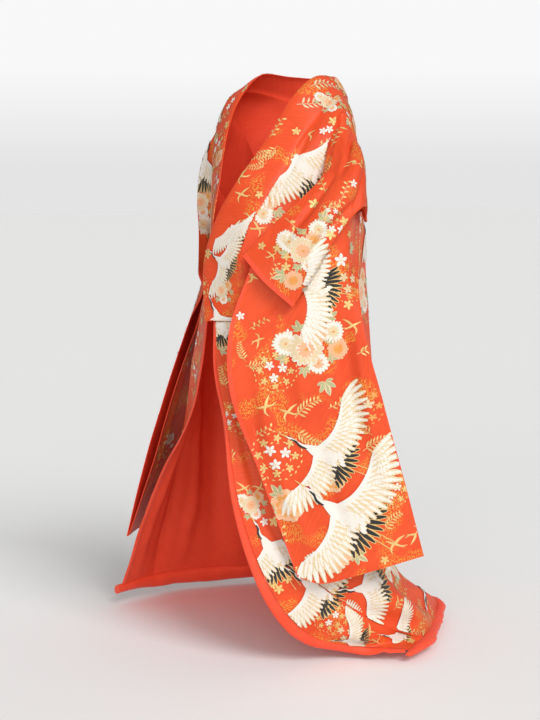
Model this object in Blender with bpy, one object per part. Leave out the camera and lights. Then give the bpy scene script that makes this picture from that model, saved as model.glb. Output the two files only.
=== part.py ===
# A worn uchikake: a full-length, trailing wedding robe, hollow, in the pose of a standing wearer
# whose left hand gathers the two front edges at the waist.
# Metres. +Z up, the wearer faces -Y, the wearer's left is +X.
# The origin is the point between the shoulders that carries the robe; the floor is at FLOOR.
import bpy
import bmesh
import numpy as np

# ---- driving sizes ----------------------------------------------------------------------------
FLOOR = -1.38            # shoulder point to floor
CLOTH = 0.0018           # brocade with its backing
LINING = 0.0012          # plain silk lining
SEAM_GAP = 0.0003        # clearance between two sewn pieces
ARMHOLE_GAP = {"left": 0.0060, "right": 0.0030}   # wider where the sleeve turns sharply away from the body
EDGE_ROLL_WIDTH = 0.030  # padded roll down the front edges, as seen
EDGE_ROLL_DEPTH = 0.012
HEM_ROLL_WIDTH = 0.055   # padded roll along the trailing hem, as seen
HEM_ROLL_DEPTH = 0.030
EDGE_ROLL_TAPER = {"left": ((0, 11, 16), (1, 1, 0.5)), "right": ((0, 16), (0.5, 0.5))}
EDGE_ROLL_START = 0.005  # where an edge roll starts, below the collar
EDGE_ROLL_END = 0.014    # and where it ends, short of the hem roll
HEM_ROLL_TAPER = ((0, 1, 3, 5, 36, 42), (0.35, 0.5, 0.9, 1, 1, 0.6))
PLEAT_STEP = 0.006       # distance between neighbouring layers of the sleeve's fold
ROLL_SIDES = 8

PANEL_COLUMNS = (4, 4)   # quads between the three length lines of a body panel
LOWER_STEPS = 2          # quads between two stations below the waist
UPPER_STEPS = 1          # and above it

# ---- sections of the robe ---------------------------------------------------------------------
# Below the waist, one row for each station from the waist to the hem.
LOWER_COLUMNS = ("edge", "overlap", "front", "side", "back", "centre")
LOWER_LEFT = (
    ((0.022, -0.262, -0.545), (0.120, -0.222, -0.540), (0.185, -0.108, -0.540), (0.205, 0.025, -0.540),
     (0.121, 0.158, -0.540), (0.000, 0.192, -0.540)),
    ((0.026, -0.265, -0.660), (0.125, -0.208, -0.660), (0.185, -0.103, -0.660), (0.205, 0.032, -0.660),
     (0.122, 0.168, -0.660), (0.000, 0.201, -0.660)),
    ((0.052, -0.257, -0.800), (0.130, -0.195, -0.800), (0.185, -0.095, -0.800), (0.207, 0.045, -0.800),
     (0.125, 0.180, -0.800), (0.000, 0.212, -0.800)),
    ((0.085, -0.252, -0.970), (0.155, -0.170, -0.970), (0.205, -0.065, -0.970), (0.210, 0.075, -0.970),
     (0.125, 0.200, -0.970), (-0.005, 0.230, -0.970)),
    ((0.125, -0.222, -1.120), (0.195, -0.120, -1.120), (0.240, 0.000, -1.110), (0.215, 0.130, -1.110),
     (0.105, 0.240, -1.110), (-0.020, 0.260, -1.110)),
    ((0.158, -0.170, -1.240), (0.235, -0.030, -1.210), (0.265, 0.090, -1.200), (0.205, 0.190, -1.200),
     (0.085, 0.275, -1.200), (-0.040, 0.285, -1.190)),
    ((0.176, -0.090, -1.315), (0.265, 0.060, -1.280), (0.262, 0.180, -1.265), (0.170, 0.290, -1.265),
     (0.055, 0.335, -1.270), (-0.075, 0.335, -1.265)),
    ((0.215, 0.020, -1.350), (0.285, 0.160, -1.325), (0.230, 0.280, -1.310), (0.130, 0.380, -1.310),
     (0.000, 0.410, -1.320), (-0.125, 0.410, -1.325)),
    ((0.360, 0.150, -1.362), (0.270, 0.265, -1.362), (0.180, 0.370, -1.362), (0.100, 0.470, -1.358),
     (-0.050, 0.505, -1.362), (-0.200, 0.500, -1.362)),
)
LOWER_RIGHT = (
    ((-0.012, -0.224, -0.545), (-0.100, -0.185, -0.545), (-0.180, -0.095, -0.540), (-0.215, 0.030, -0.540),
     (-0.121, 0.158, -0.540), (0.000, 0.192, -0.540)),
    ((-0.038, -0.222, -0.660), (-0.150, -0.172, -0.660), (-0.235, -0.070, -0.660), (-0.235, 0.062, -0.660),
     (-0.123, 0.175, -0.660), (0.000, 0.201, -0.660)),
    ((-0.110, -0.215, -0.800), (-0.220, -0.130, -0.800), (-0.300, -0.020, -0.800), (-0.270, 0.100, -0.800),
     (-0.130, 0.200, -0.800), (0.000, 0.212, -0.800)),
    ((-0.265, -0.200, -0.970), (-0.330, -0.085, -0.970), (-0.370, 0.030, -0.970), (-0.320, 0.160, -0.970),
     (-0.150, 0.240, -0.970), (-0.005, 0.230, -0.970)),
    ((-0.370, -0.185, -1.100), (-0.420, -0.055, -1.100), (-0.430, 0.070, -1.100), (-0.360, 0.215, -1.100),
     (-0.180, 0.290, -1.110), (-0.020, 0.260, -1.110)),
    ((-0.435, -0.172, -1.190), (-0.480, -0.040, -1.190), (-0.475, 0.090, -1.190), (-0.390, 0.250, -1.190),
     (-0.215, 0.335, -1.200), (-0.040, 0.285, -1.190)),
    ((-0.472, -0.165, -1.245), (-0.510, -0.033, -1.245), (-0.498, 0.100, -1.245), (-0.412, 0.265, -1.245),
     (-0.245, 0.365, -1.258), (-0.075, 0.335, -1.265)),
    ((-0.505, -0.159, -1.290), (-0.535, -0.024, -1.290), (-0.520, 0.110, -1.290), (-0.430, 0.288, -1.285),
     (-0.285, 0.398, -1.305), (-0.125, 0.410, -1.325)),
    ((-0.555, -0.150, -1.362), (-0.575, -0.015, -1.362), (-0.560, 0.120, -1.362), (-0.465, 0.330, -1.362),
     (-0.350, 0.450, -1.362), (-0.200, 0.500, -1.362)),
)
# From the waist up the back, over the shoulder and down the front.
# The collar column is the collar's free edge, None where the row doesn't reach the collar.
UPPER_COLUMNS = ("collar", "seam", "middle", "outer")
UPPER_LEFT = (
    (None, (0.000, 0.186, -0.440), (0.118, 0.153, -0.440), (0.205, 0.022, -0.440)),
    (None, (0.000, 0.187, -0.345), (0.115, 0.155, -0.345), (0.205, 0.030, -0.345)),
    (None, (0.000, 0.188, -0.260), (0.100, 0.155, -0.265), (0.165, 0.090, -0.270)),
    (None, (0.000, 0.180, -0.170), (0.100, 0.146, -0.185), (0.180, 0.080, -0.210)),
    ((0.000, 0.135, 0.030), (0.000, 0.155, -0.045), (0.110, 0.122, -0.095), (0.195, 0.063, -0.150)),
    ((0.040, 0.125, 0.030), (0.070, 0.135, -0.035), (0.140, 0.098, -0.070), (0.200, 0.050, -0.115)),
    ((0.075, 0.085, 0.030), (0.120, 0.085, -0.020), (0.162, 0.060, -0.045), (0.200, 0.033, -0.082)),
    ((0.090, 0.013, 0.025), (0.140, 0.040, -0.018), (0.168, 0.028, -0.035), (0.195, 0.015, -0.059)),
    ((0.095, -0.053, -0.020), (0.155, -0.012, -0.058), (0.180, -0.015, -0.075), (0.200, -0.015, -0.100)),
    ((0.090, -0.100, -0.080), (0.155, -0.070, -0.116), (0.182, -0.060, -0.130), (0.200, -0.040, -0.145)),
    ((0.083, -0.148, -0.147), (0.148, -0.118, -0.182), (0.180, -0.085, -0.185), (0.200, -0.042, -0.185)),
    ((0.068, -0.197, -0.213), (0.137, -0.165, -0.248), (0.175, -0.110, -0.245), (0.203, -0.045, -0.225)),
    ((0.026, -0.230, -0.305), (0.122, -0.208, -0.325), (0.180, -0.110, -0.335), (0.205, 0.030, -0.345)),
    ((-0.003, -0.246, -0.415), (0.110, -0.233, -0.430), (0.184, -0.110, -0.440), (0.205, 0.022, -0.440)),
)
UPPER_RIGHT = (
    (None, (0.000, 0.186, -0.440), (-0.118, 0.153, -0.440), (-0.205, 0.018, -0.440)),
    (None, (0.000, 0.187, -0.345), (-0.115, 0.155, -0.345), (-0.205, 0.025, -0.345)),
    (None, (0.000, 0.188, -0.260), (-0.100, 0.155, -0.265), (-0.165, 0.088, -0.265)),
    (None, (0.000, 0.180, -0.170), (-0.100, 0.146, -0.185), (-0.183, 0.075, -0.205)),
    ((0.000, 0.135, 0.030), (0.000, 0.155, -0.045), (-0.110, 0.122, -0.092), (-0.200, 0.055, -0.145)),
    ((-0.040, 0.125, 0.032), (-0.070, 0.135, -0.035), (-0.142, 0.095, -0.062), (-0.205, 0.040, -0.110)),
    ((-0.075, 0.080, 0.036), (-0.125, 0.085, -0.015), (-0.168, 0.050, -0.035), (-0.205, 0.012, -0.075)),
    ((-0.090, 0.000, 0.040), (-0.145, 0.000, 0.000), (-0.175, -0.010, -0.018), (-0.200, -0.020, -0.050)),
    ((-0.096, -0.048, 0.000), (-0.158, -0.048, -0.018), (-0.185, -0.047, -0.048), (-0.205, -0.045, -0.090)),
    ((-0.093, -0.085, -0.050), (-0.152, -0.083, -0.078), (-0.180, -0.075, -0.105), (-0.202, -0.062, -0.135)),
    ((-0.072, -0.130, -0.140), (-0.135, -0.115, -0.165), (-0.170, -0.092, -0.175), (-0.200, -0.066, -0.182)),
    ((-0.038, -0.168, -0.215), (-0.115, -0.138, -0.250), (-0.160, -0.102, -0.250), (-0.196, -0.064, -0.225)),
    ((-0.012, -0.208, -0.310), (-0.090, -0.158, -0.345), (-0.150, -0.095, -0.345), (-0.205, 0.025, -0.345)),
    ((0.002, -0.221, -0.430), (-0.075, -0.175, -0.450), (-0.150, -0.100, -0.445), (-0.205, 0.018, -0.440)),
)

# ---- sleeves ----------------------------------------------------------------------------------
# Each row runs from the wrist edge to the body edge: wrist, third, middle, elbow, body.
SLEEVE_COLUMNS = ("wrist", "third", "middle", "elbow", "body")
# The left sleeve is laid out in the upright plane that its forearm lies in:
# (along the forearm towards the elbow, up, out from the body).
SLEEVE_ORIGIN = (0.169, -0.141)
SLEEVE_ALONG = (0.64, 0.77)
SLEEVE_OUT = (0.77, -0.64)
LEFT_OUTER = {
    "top": ((-0.095, -0.389, 0.050), (-0.005, -0.296, 0.050), (0.088, -0.203, 0.022),
            (0.118, -0.125, -0.030), None),
    "bulge": ((-0.045, -0.445, 0.088), (0.045, -0.350, 0.098), (0.126, -0.250, 0.078),
              (0.172, -0.160, 0.010), None),
    "fold": ((0.016, -0.500, 0.078), (0.070, -0.408, 0.086), (0.125, -0.322, 0.078),
             (0.180, -0.270, 0.035), (0.195, -0.312, -0.100)),
    "tuck": ((-0.082, -0.418, 0.060), (0.000, -0.340, 0.066), (0.078, -0.272, 0.060),
             (0.152, -0.238, 0.030), (0.188, -0.290, -0.106)),
    "hip": ((-0.128, -0.560, 0.048), (0.000, -0.545, 0.056), (0.075, -0.530, 0.056),
            (0.130, -0.515, 0.048), (0.175, -0.510, 0.030)),
    "thigh": ((-0.126, -0.705, 0.044), (0.000, -0.720, 0.052), (0.085, -0.725, 0.050),
              (0.165, -0.730, 0.046), (0.229, -0.730, 0.040)),
    "knee": ((-0.060, -0.890, 0.042), (0.040, -0.900, 0.050), (0.125, -0.905, 0.050),
             (0.205, -0.905, 0.046), (0.277, -0.905, 0.040)),
    "hem": ((0.030, -1.143, 0.040), (0.085, -1.157, 0.042), (0.165, -1.138, 0.042),
            (0.245, -1.115, 0.040), (0.326, -1.091, 0.038)),
}
LEFT_INNER = {
    "bulge": ((-0.090, -0.440, 0.028), (-0.005, -0.370, 0.012), (0.062, -0.280, 0.002),
              (0.092, -0.178, -0.012), None),
    "tuck": ((-0.098, -0.490, 0.034), (-0.020, -0.450, 0.022), (0.045, -0.360, 0.008),
             (0.084, -0.265, -0.004), None),
    "hip": ((-0.122, -0.580, 0.036), (-0.010, -0.570, 0.028), (0.065, -0.545, 0.020),
            (0.120, -0.490, 0.012), (0.156, -0.420, 0.008)),
    "thigh": ((-0.126, -0.705, 0.036), (0.000, -0.720, 0.032), (0.085, -0.725, 0.022),
              (0.160, -0.728, 0.012), (0.214, -0.728, 0.000)),
    "knee": ((-0.060, -0.890, 0.035), (0.040, -0.900, 0.032), (0.125, -0.905, 0.026),
             (0.198, -0.905, 0.018), (0.262, -0.905, 0.010)),
    "hem": ((0.030, -1.143, 0.034), (0.085, -1.157, 0.036), (0.165, -1.138, 0.036),
            (0.245, -1.115, 0.034), (0.326, -1.091, 0.032)),
}
# The right arm hangs nearer to straight, and its sleeve lies against the flared skirt.
RIGHT_OUTER = {
    "top": ((-0.198, -0.118, -0.450), (-0.235, -0.088, -0.350), (-0.262, -0.070, -0.255),
            (-0.248, -0.055, -0.150), None),
    "bulge": ((-0.224, -0.085, -0.500), (-0.270, -0.040, -0.410), (-0.295, -0.015, -0.315),
              (-0.285, -0.010, -0.200), None),
    "tuck": ((-0.225, -0.125, -0.570), (-0.285, -0.055, -0.530), (-0.310, 0.000, -0.480),
             (-0.300, 0.060, -0.420), (-0.245, 0.115, -0.380)),
    "thigh": ((-0.300, -0.150, -0.760), (-0.350, -0.075, -0.755), (-0.370, 0.000, -0.750),
              (-0.370, 0.075, -0.745), (-0.340, 0.145, -0.740)),
    "knee": ((-0.380, -0.165, -0.960), (-0.435, -0.090, -0.960), (-0.455, -0.010, -0.955),
             (-0.450, 0.070, -0.950), (-0.420, 0.145, -0.945)),
    "hem": ((-0.455, -0.172, -1.165), (-0.505, -0.095, -1.160), (-0.525, -0.015, -1.155),
            (-0.520, 0.065, -1.150), (-0.490, 0.140, -1.145)),
}
RIGHT_INNER = {
    "bulge": ((-0.194, -0.100, -0.500), (-0.220, -0.072, -0.400), (-0.240, -0.062, -0.295),
              (-0.226, -0.058, -0.190), None),
    "tuck": ((-0.208, -0.112, -0.570), (-0.228, -0.072, -0.475), (-0.238, -0.056, -0.360),
             (-0.222, -0.058, -0.265), None),
    "hip": ((-0.235, -0.128, -0.650), (-0.272, -0.070, -0.600), (-0.280, -0.034, -0.520),
            (-0.266, -0.014, -0.430), (-0.246, 0.004, -0.380)),
    "thigh": ((-0.275, -0.143, -0.760), (-0.328, -0.070, -0.755), (-0.348, 0.000, -0.750),
              (-0.345, 0.072, -0.745), (-0.315, 0.135, -0.740)),
    "knee": ((-0.354, -0.156, -0.960), (-0.412, -0.082, -0.960), (-0.430, -0.006, -0.955),
             (-0.425, 0.066, -0.950), (-0.395, 0.135, -0.945)),
    "hem": ((-0.449, -0.170, -1.163), (-0.499, -0.092, -1.158), (-0.519, -0.013, -1.153),
            (-0.514, 0.062, -1.148), (-0.4845, 0.137, -1.143)),
}
SLEEVE_COLUMN_STEPS = (3, 3, 3, 3)
OUTER_STEPS = {"bulge": 2, "fold": 4, "tuck": 4, "hip": 3, "thigh": 3, "knee": 2, "hem": 4}
INNER_STEPS = {"bulge": 2, "tuck": 2, "hip": 2, "thigh": 2, "knee": 2, "hem": 4}


# ---- curves and surfaces ----------------------------------------------------------------------
def spline(points, steps):
    """A smooth curve through the points, with steps[i] pieces between point i and point i + 1."""
    p = np.asarray(points, float)
    knots = np.concatenate(([0.0], np.cumsum(np.sqrt(np.linalg.norm(np.diff(p, axis=0), axis=1)) + 1e-6)))
    slopes = np.empty_like(p)
    chords = np.diff(p, axis=0) / np.diff(knots)[:, None]
    slopes[0] = chords[0]
    slopes[-1] = chords[-1]
    before = np.diff(knots)[:-1, None]
    after = np.diff(knots)[1:, None]
    slopes[1:-1] = (chords[:-1] * after + chords[1:] * before) / (before + after)
    out = []
    for i, count in enumerate(steps):
        span = knots[i + 1] - knots[i]
        for t in np.arange(count) / count:
            out.append((2 * t**3 - 3 * t**2 + 1) * p[i] + (t**3 - 2 * t**2 + t) * span * slopes[i]
                       + (-2 * t**3 + 3 * t**2) * p[i + 1] + (t**3 - t**2) * span * slopes[i + 1])
    out.append(p[-1])
    return np.array(out)


def surface(rows, column_steps, row_steps):
    """A net of points through rows of control points."""
    across = np.array([spline(row, column_steps) for row in rows])
    return np.stack([spline(across[:, i], row_steps) for i in range(across.shape[1])], axis=1)


def normals_of(net):
    """Unit normals: at each point the mean direction of the quads round it."""
    faces = np.cross(net[1:, 1:] - net[:-1, :-1], net[:-1, 1:] - net[1:, :-1])
    faces /= np.linalg.norm(faces, axis=2, keepdims=True)
    total = np.zeros_like(net)
    for rows in (slice(None, -1), slice(1, None)):
        for columns in (slice(None, -1), slice(1, None)):
            total[rows, columns] += faces
    return total / np.linalg.norm(total, axis=2, keepdims=True)


def trimmed(net, sides):
    """Moves the named sides of a net in by half a seam gap."""
    out = net.copy()
    ends = {"first_row": ((0, slice(None)), (1, slice(None))),
            "last_row": ((-1, slice(None)), (-2, slice(None))),
            "first_column": ((slice(None), 0), (slice(None), 1)),
            "last_column": ((slice(None), -1), (slice(None), -2))}
    for side, inset in sides.items():
        edge, inside = ends[side]
        way = net[inside] - net[edge]
        length = np.linalg.norm(way, axis=-1, keepdims=True)
        out[edge] = out[edge] + way / length * np.minimum(inset, 0.6 * length)
    return out


# ---- making solids ----------------------------------------------------------------------------
def material(name, colour, roughness):
    made = bpy.data.materials.new(name)
    made.use_nodes = True
    shader = made.node_tree.nodes["Principled BSDF"]
    shader.inputs["Base Color"].default_value = (*colour, 1)
    shader.inputs["Roughness"].default_value = roughness
    return made


def place(bm, name, finish, collection):
    bmesh.ops.recalc_face_normals(bm, faces=bm.faces)
    if bm.calc_volume(signed=True) < 0:
        bmesh.ops.reverse_faces(bm, faces=bm.faces)
    mesh = bpy.data.meshes.new(name)
    bm.to_mesh(mesh)
    bm.free()
    mesh.shade_smooth()
    mesh.set_sharp_from_angle(angle=np.radians(50))
    mesh.materials.append(finish)
    made = bpy.data.objects.new(name, mesh)
    collection.objects.link(made)
    return made


def wall(name, net, normals, low, high, finish, collection):
    """A closed wall between two offsets, low and high, of a net along its normals."""
    rows, columns = net.shape[:2]
    bm = bmesh.new()
    bmesh.ops.create_grid(bm, x_segments=columns - 1, y_segments=rows - 1, size=0.5)
    order = bm.verts.layers.int.new("order")
    for i, vert in enumerate(sorted(bm.verts, key=lambda v: (round(v.co.y, 5), round(v.co.x, 5)))):
        vert[order] = i
    made = bmesh.ops.extrude_face_region(bm, geom=bm.faces[:], use_keep_orig=True)
    far = {v for v in made["geom"] if isinstance(v, bmesh.types.BMVert)}
    points, ways = net.reshape(-1, 3), normals.reshape(-1, 3)
    for vert in bm.verts:
        i = vert[order]
        vert.co = points[i] + ways[i] * (high if vert in far else low)
    bm.verts.layers.int.remove(order)
    bmesh.ops.triangulate(bm, faces=bm.faces[:])
    return place(bm, name, finish, collection)


def roll(name, path, across, up, widths, depths, finish, collection):
    """A closed padded roll along a path: an oval section, flat ends."""
    rings = []
    for centre, side, top, width, depth in zip(path, across, up, widths, depths):
        angles = 2 * np.pi * (np.arange(ROLL_SIDES) + 0.5) / ROLL_SIDES
        rings.append([centre + side * np.cos(a) * width / 2 + top * np.sin(a) * depth / 2 for a in angles])
    bm = bmesh.new()
    loops = [[bm.verts.new(p) for p in ring] for ring in rings]
    edges = [[bm.edges.new((ring[i], ring[(i + 1) % ROLL_SIDES])) for i in range(ROLL_SIDES)] for ring in loops]
    for first, second in zip(edges[:-1], edges[1:]):
        bmesh.ops.bridge_loops(bm, edges=first + second)
    bmesh.ops.edgenet_fill(bm, edges=edges[0])
    bmesh.ops.edgenet_fill(bm, edges=edges[-1])
    bmesh.ops.triangulate(bm, faces=bm.faces[:])
    return place(bm, name, finish, collection)


# ---- the robe's nets --------------------------------------------------------------------------
def with_roll(rows):
    """The lower stations, with the front edge and the hem moved back by their rolls' widths."""
    rows = [[np.array(p, float) for p in row] for row in rows]
    for j in range(len(rows[-1])):
        way = rows[-2][j] - rows[-1][j]
        rows[-1][j] = rows[-1][j] + way / np.linalg.norm(way) * HEM_ROLL_WIDTH
    for row in rows:
        way = row[1] - row[0]
        row[0] = row[0] + way / np.linalg.norm(way) * EDGE_ROLL_WIDTH
    return rows


def body_nets(lower, upper):
    """Points of the panel from back hem to front hem, of the overlap panel and of the collar."""
    lower = with_roll(lower)
    back = [[row[5], row[4], row[3]] for row in reversed(lower)]
    front = [[row[1], row[2], row[3]] for row in lower]
    over = [list(row[1:]) for row in upper]
    count = len(lower) - 1
    steps = [LOWER_STEPS] * count + [UPPER_STEPS] * (len(upper) + 1) + [LOWER_STEPS] * count
    panel = surface(back + over + front, PANEL_COLUMNS, steps)
    overlap = surface([[row[0], row[1]] for row in lower], (3,), [LOWER_STEPS] * count)
    overlap[:, -1] = panel[-len(overlap):, 0]
    first = len(back) * LOWER_STEPS - LOWER_STEPS + 1      # the panel row of the first upper station
    neck = next(i for i, row in enumerate(upper) if row[0] is not None)
    seam = panel[first + neck:first + len(upper) + 1, 0]   # from the centre back to the collar's end
    free = [row[0] for row in upper[neck:]] + [lower[0][0]]
    return panel, overlap, seam, np.array(free, float)


def to_world(point):
    along, up, out = point
    return np.array((SLEEVE_ORIGIN[0] + SLEEVE_ALONG[0] * along + SLEEVE_OUT[0] * out,
                     SLEEVE_ORIGIN[1] + SLEEVE_ALONG[1] * along + SLEEVE_OUT[1] * out, up))


def sleeve_sheet(outer, inner, armhole_back, armhole_front, pleated, world):
    """One sheet: up the body-side layer from its hem, over the top fold, down the outer layer."""
    outer = {name: [None if p is None else world(p) for p in row] for name, row in outer.items()}
    inner = {name: [None if p is None else world(p) for p in row] for name, row in inner.items()}
    outer["top"][-1] = armhole_back[0]
    outer["bulge"][-1] = armhole_back[OUTER_STEPS["bulge"]]
    inner["bulge"][-1] = armhole_front[INNER_STEPS["bulge"]]
    inner["tuck"][-1] = armhole_front[-1]
    last_upper = "fold" if pleated else "tuck"
    names = [name for name in outer if name != "top"]
    under = surface([inner[name] for name in reversed(list(inner))] + [outer["top"]],
                    SLEEVE_COLUMN_STEPS, [INNER_STEPS[name] for name in reversed(list(inner))])
    sewn_rows = len(armhole_front)
    under[-sewn_rows:, -1] = armhole_front[::-1]
    cut = names.index(last_upper) + 1
    upper = surface([outer["top"]] + [outer[name] for name in names[:cut]], SLEEVE_COLUMN_STEPS,
                    [OUTER_STEPS[name] for name in names[:cut]])
    upper[:len(armhole_back), -1] = armhole_back
    if not pleated:
        lower = surface([outer[name] for name in names[cut - 1:]], SLEEVE_COLUMN_STEPS,
                        [OUTER_STEPS[name] for name in names[cut:]])
        return np.concatenate((under[:-1], upper, lower[1:]))
    middle = surface([outer["fold"], outer["tuck"]], SLEEVE_COLUMN_STEPS, [OUTER_STEPS["tuck"]])
    lower = surface([outer[name] for name in names[cut:]], SLEEVE_COLUMN_STEPS,
                    [OUTER_STEPS[name] for name in names[cut + 1:]])
    inward = normals_of(middle).mean(axis=0)
    inward *= PLEAT_STEP / np.linalg.norm(inward, axis=1, keepdims=True)
    slack = np.linalg.norm(middle[0] - middle[-1], axis=1, keepdims=True)
    turn = (middle[0] - middle[-1]) / slack * PLEAT_STEP / 2
    middle = middle + inward
    for i, share in enumerate(1 - np.arange(OUTER_STEPS["hip"]) / OUTER_STEPS["hip"]):
        lower[i] += 2 * share * inward
    fold = (upper[-1] + middle[0]) / 2 + turn
    tuck = (middle[-1] + lower[0]) / 2 - turn
    return np.concatenate((under[:-1], upper, [fold], middle, [tuck], lower))


def hem_line(side):
    """The hem from the front corner to the centre back: points, direction out, normal."""
    panel, overlap, panel_way, overlap_way = (side[key] for key in ("panel", "overlap", "panel_way", "overlap_way"))
    points = np.concatenate((overlap[-1], panel[-1, 1:], panel[0, -2::-1]))
    inside = np.concatenate((overlap[-2], panel[-2, 1:], panel[1, -2::-1]))
    up = np.concatenate((overlap_way[-1], panel_way[-1, 1:], panel_way[0, -2::-1]))
    corner = points[0] + averaged(points[0] - points[1]) * EDGE_ROLL_WIDTH
    away = averaged(points - inside)
    return np.vstack((corner, points)), np.vstack((away[0], away)), np.vstack((up[0], up))


def averaged(*normals):
    total = sum(normals)
    return total / np.linalg.norm(total, axis=-1, keepdims=True)


def build():
    for old in list(bpy.data.objects):
        bpy.data.objects.remove(old, do_unlink=True)
    collection = bpy.data.collections.new("uchikake")
    bpy.context.scene.collection.children.link(collection)
    brocade = material("vermilion brocade", (0.80, 0.10, 0.03), 0.45)
    silk = material("plain red silk", (0.85, 0.06, 0.03), 0.5)
    padded = material("padded red silk hem", (0.86, 0.07, 0.03), 0.5)
    half_gap = SEAM_GAP / 2

    sides = {}
    for name, lower, upper, turn in (("left", LOWER_LEFT, UPPER_LEFT, 1), ("right", LOWER_RIGHT, UPPER_RIGHT, -1)):
        panel, overlap, seam, free = body_nets(lower, upper)
        free[-1] = lower[0][0]
        sides[name] = {"panel": panel, "overlap": overlap, "seam": seam, "free": free,
                       "panel_way": normals_of(panel) * turn, "overlap_way": normals_of(overlap) * turn,
                       "lower": lower}
    left, right = sides["left"], sides["right"]

    # The collar is one long band from the right front, round the neck, to the left front.
    seam = np.concatenate((right["seam"][::-1], left["seam"][1:]))
    free = np.concatenate((right["free"][::-1], left["free"][1:]))
    collar = np.stack([free + (seam - free) * t for t in (0, 1 / 3, 2 / 3, 1)], axis=1)
    collar_way = normals_of(collar)
    middle_row = len(right["seam"]) - 1

    # Pieces that are sewn together share their normals along the seam.
    rows = left["panel"].shape[0]
    hem_rows = left["overlap"].shape[0]
    centre = averaged(left["panel_way"][:rows, 0], right["panel_way"][:rows, 0])
    neck_start = rows - hem_rows - len(left["seam"]) + 1
    for side in (left, right):
        way = side["panel_way"]
        way[:neck_start + 1, 0] = centre[:neck_start + 1]
        shared = averaged(way[-hem_rows:, 0], side["overlap_way"][:, -1])
        way[-hem_rows:, 0] = shared
        side["overlap_way"][:, -1] = shared
        seamed = averaged(way[:hem_rows + 2, -1], way[-hem_rows - 2:, -1][::-1])
        way[:hem_rows + 2, -1] = seamed
        way[-hem_rows - 2:, -1] = seamed[::-1]
    for side, part in ((left, slice(middle_row, None)), (right, slice(middle_row, None, -1))):
        span = slice(neck_start, neck_start + len(side["seam"]))
        shared = averaged(collar_way[part, -1], side["panel_way"][span, 0])
        collar_way[part, -1] = shared
        side["panel_way"][span, 0] = shared
        side["overlap_way"][0, -1] = shared[-1]

    wall("collar", trimmed(collar, {"last_column": half_gap}), collar_way, 0, CLOTH, brocade, collection)

    panel_sides = {"first_column": half_gap, "last_column": half_gap}
    for name, side in sides.items():
        net = trimmed(side["panel"], panel_sides)
        armhole = slice(hem_rows + 2, rows - hem_rows - 2)
        pulled = trimmed(side["panel"], {"last_column": ARMHOLE_GAP[name] / 2})
        net[armhole, -1] = pulled[armhole, -1]
        armpits = [armhole.start, armhole.stop - 1]
        net[armpits, -1] = trimmed(side["panel"], {"last_column": ARMHOLE_GAP[name]})[armpits, -1]
        wall(f"body_{name}", net, side["panel_way"], half_gap, CLOTH, brocade, collection)
        wall(f"lining_{name}", net, side["panel_way"], -LINING, -half_gap, silk, collection)
        net = trimmed(side["overlap"], {"last_column": half_gap, "first_row": half_gap})
        wall(f"overlap_{name}", net, side["overlap_way"], half_gap, CLOTH, brocade, collection)
        wall(f"overlap_lining_{name}", net, side["overlap_way"], -LINING, -half_gap, silk, collection)

    # Sleeves. The armhole's top is the shoulder row of the body panel.
    top = hem_rows + 7
    for name, side, outer, inner, pleated, world, turn in (
            ("left", left, LEFT_OUTER, LEFT_INNER, True, to_world, 1),
            ("right", right, RIGHT_OUTER, RIGHT_INNER, False, np.array, -1)):
        edge = side["panel"][:, -1]
        sheet = sleeve_sheet(outer, inner, edge[top:top - 6:-1], edge[top:top + 5], pleated, world)
        net = trimmed(sheet, {"last_column": ARMHOLE_GAP[name] / 2})
        wall(f"sleeve_{name}", net, normals_of(sheet) * turn, -CLOTH / 2, CLOTH / 2, brocade, collection)

    # Padded rolls: one down each front edge, one all along the hem.
    for name, side in sides.items():
        net, way = side["overlap"], side["overlap_way"]
        away = net[:, 0] - net[:, 1]
        along = averaged(np.gradient(net[:, 0], axis=0))
        away = averaged(away - along * (away * along).sum(axis=1, keepdims=True))
        width = EDGE_ROLL_WIDTH * np.interp(np.arange(len(net)), *EDGE_ROLL_TAPER[name])
        depth = EDGE_ROLL_DEPTH * width / EDGE_ROLL_WIDTH
        path = net[:, 0] + away * (width[:, None] / 2 + SEAM_GAP)
        path[0] += averaged(path[1] - path[0]) * EDGE_ROLL_START
        path[-1] += averaged(path[-2] - path[-1]) * EDGE_ROLL_END
        roll(f"edge_roll_{name}", path, away, way[:, 0], width, depth, padded, collection)
    path, away, up = hem_line(left)
    far_path, far_away, far_up = hem_line(right)
    path = np.concatenate((path, far_path[-2::-1]))
    away = np.concatenate((away, far_away[-2::-1]))
    up = np.concatenate((up, far_up[-2::-1]))
    share = np.interp(np.arange(len(path)), *HEM_ROLL_TAPER)
    width, depth = HEM_ROLL_WIDTH * share, HEM_ROLL_DEPTH * share
    path = path + away * (width[:, None] / 2 + SEAM_GAP)
    roll("hem_roll", path, away, up, width, depth, padded, collection)


build()
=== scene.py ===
import math
import random
import bmesh
import bpy
import numpy as np
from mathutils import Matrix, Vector, noise
from mathutils.bvhtree import BVHTree


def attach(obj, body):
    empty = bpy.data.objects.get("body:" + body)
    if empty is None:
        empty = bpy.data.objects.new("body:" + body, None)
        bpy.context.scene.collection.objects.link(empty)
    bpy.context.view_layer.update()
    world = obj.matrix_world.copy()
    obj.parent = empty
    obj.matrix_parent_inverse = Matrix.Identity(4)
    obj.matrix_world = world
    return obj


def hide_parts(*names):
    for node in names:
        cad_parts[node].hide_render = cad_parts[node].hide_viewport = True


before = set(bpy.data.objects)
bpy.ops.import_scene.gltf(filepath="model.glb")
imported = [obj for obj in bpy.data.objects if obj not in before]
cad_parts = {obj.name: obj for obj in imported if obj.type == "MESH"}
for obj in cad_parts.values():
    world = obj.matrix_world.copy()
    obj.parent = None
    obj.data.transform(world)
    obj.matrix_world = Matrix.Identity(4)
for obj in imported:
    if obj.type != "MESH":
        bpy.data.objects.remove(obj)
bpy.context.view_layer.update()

print("frame loaded")

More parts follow.
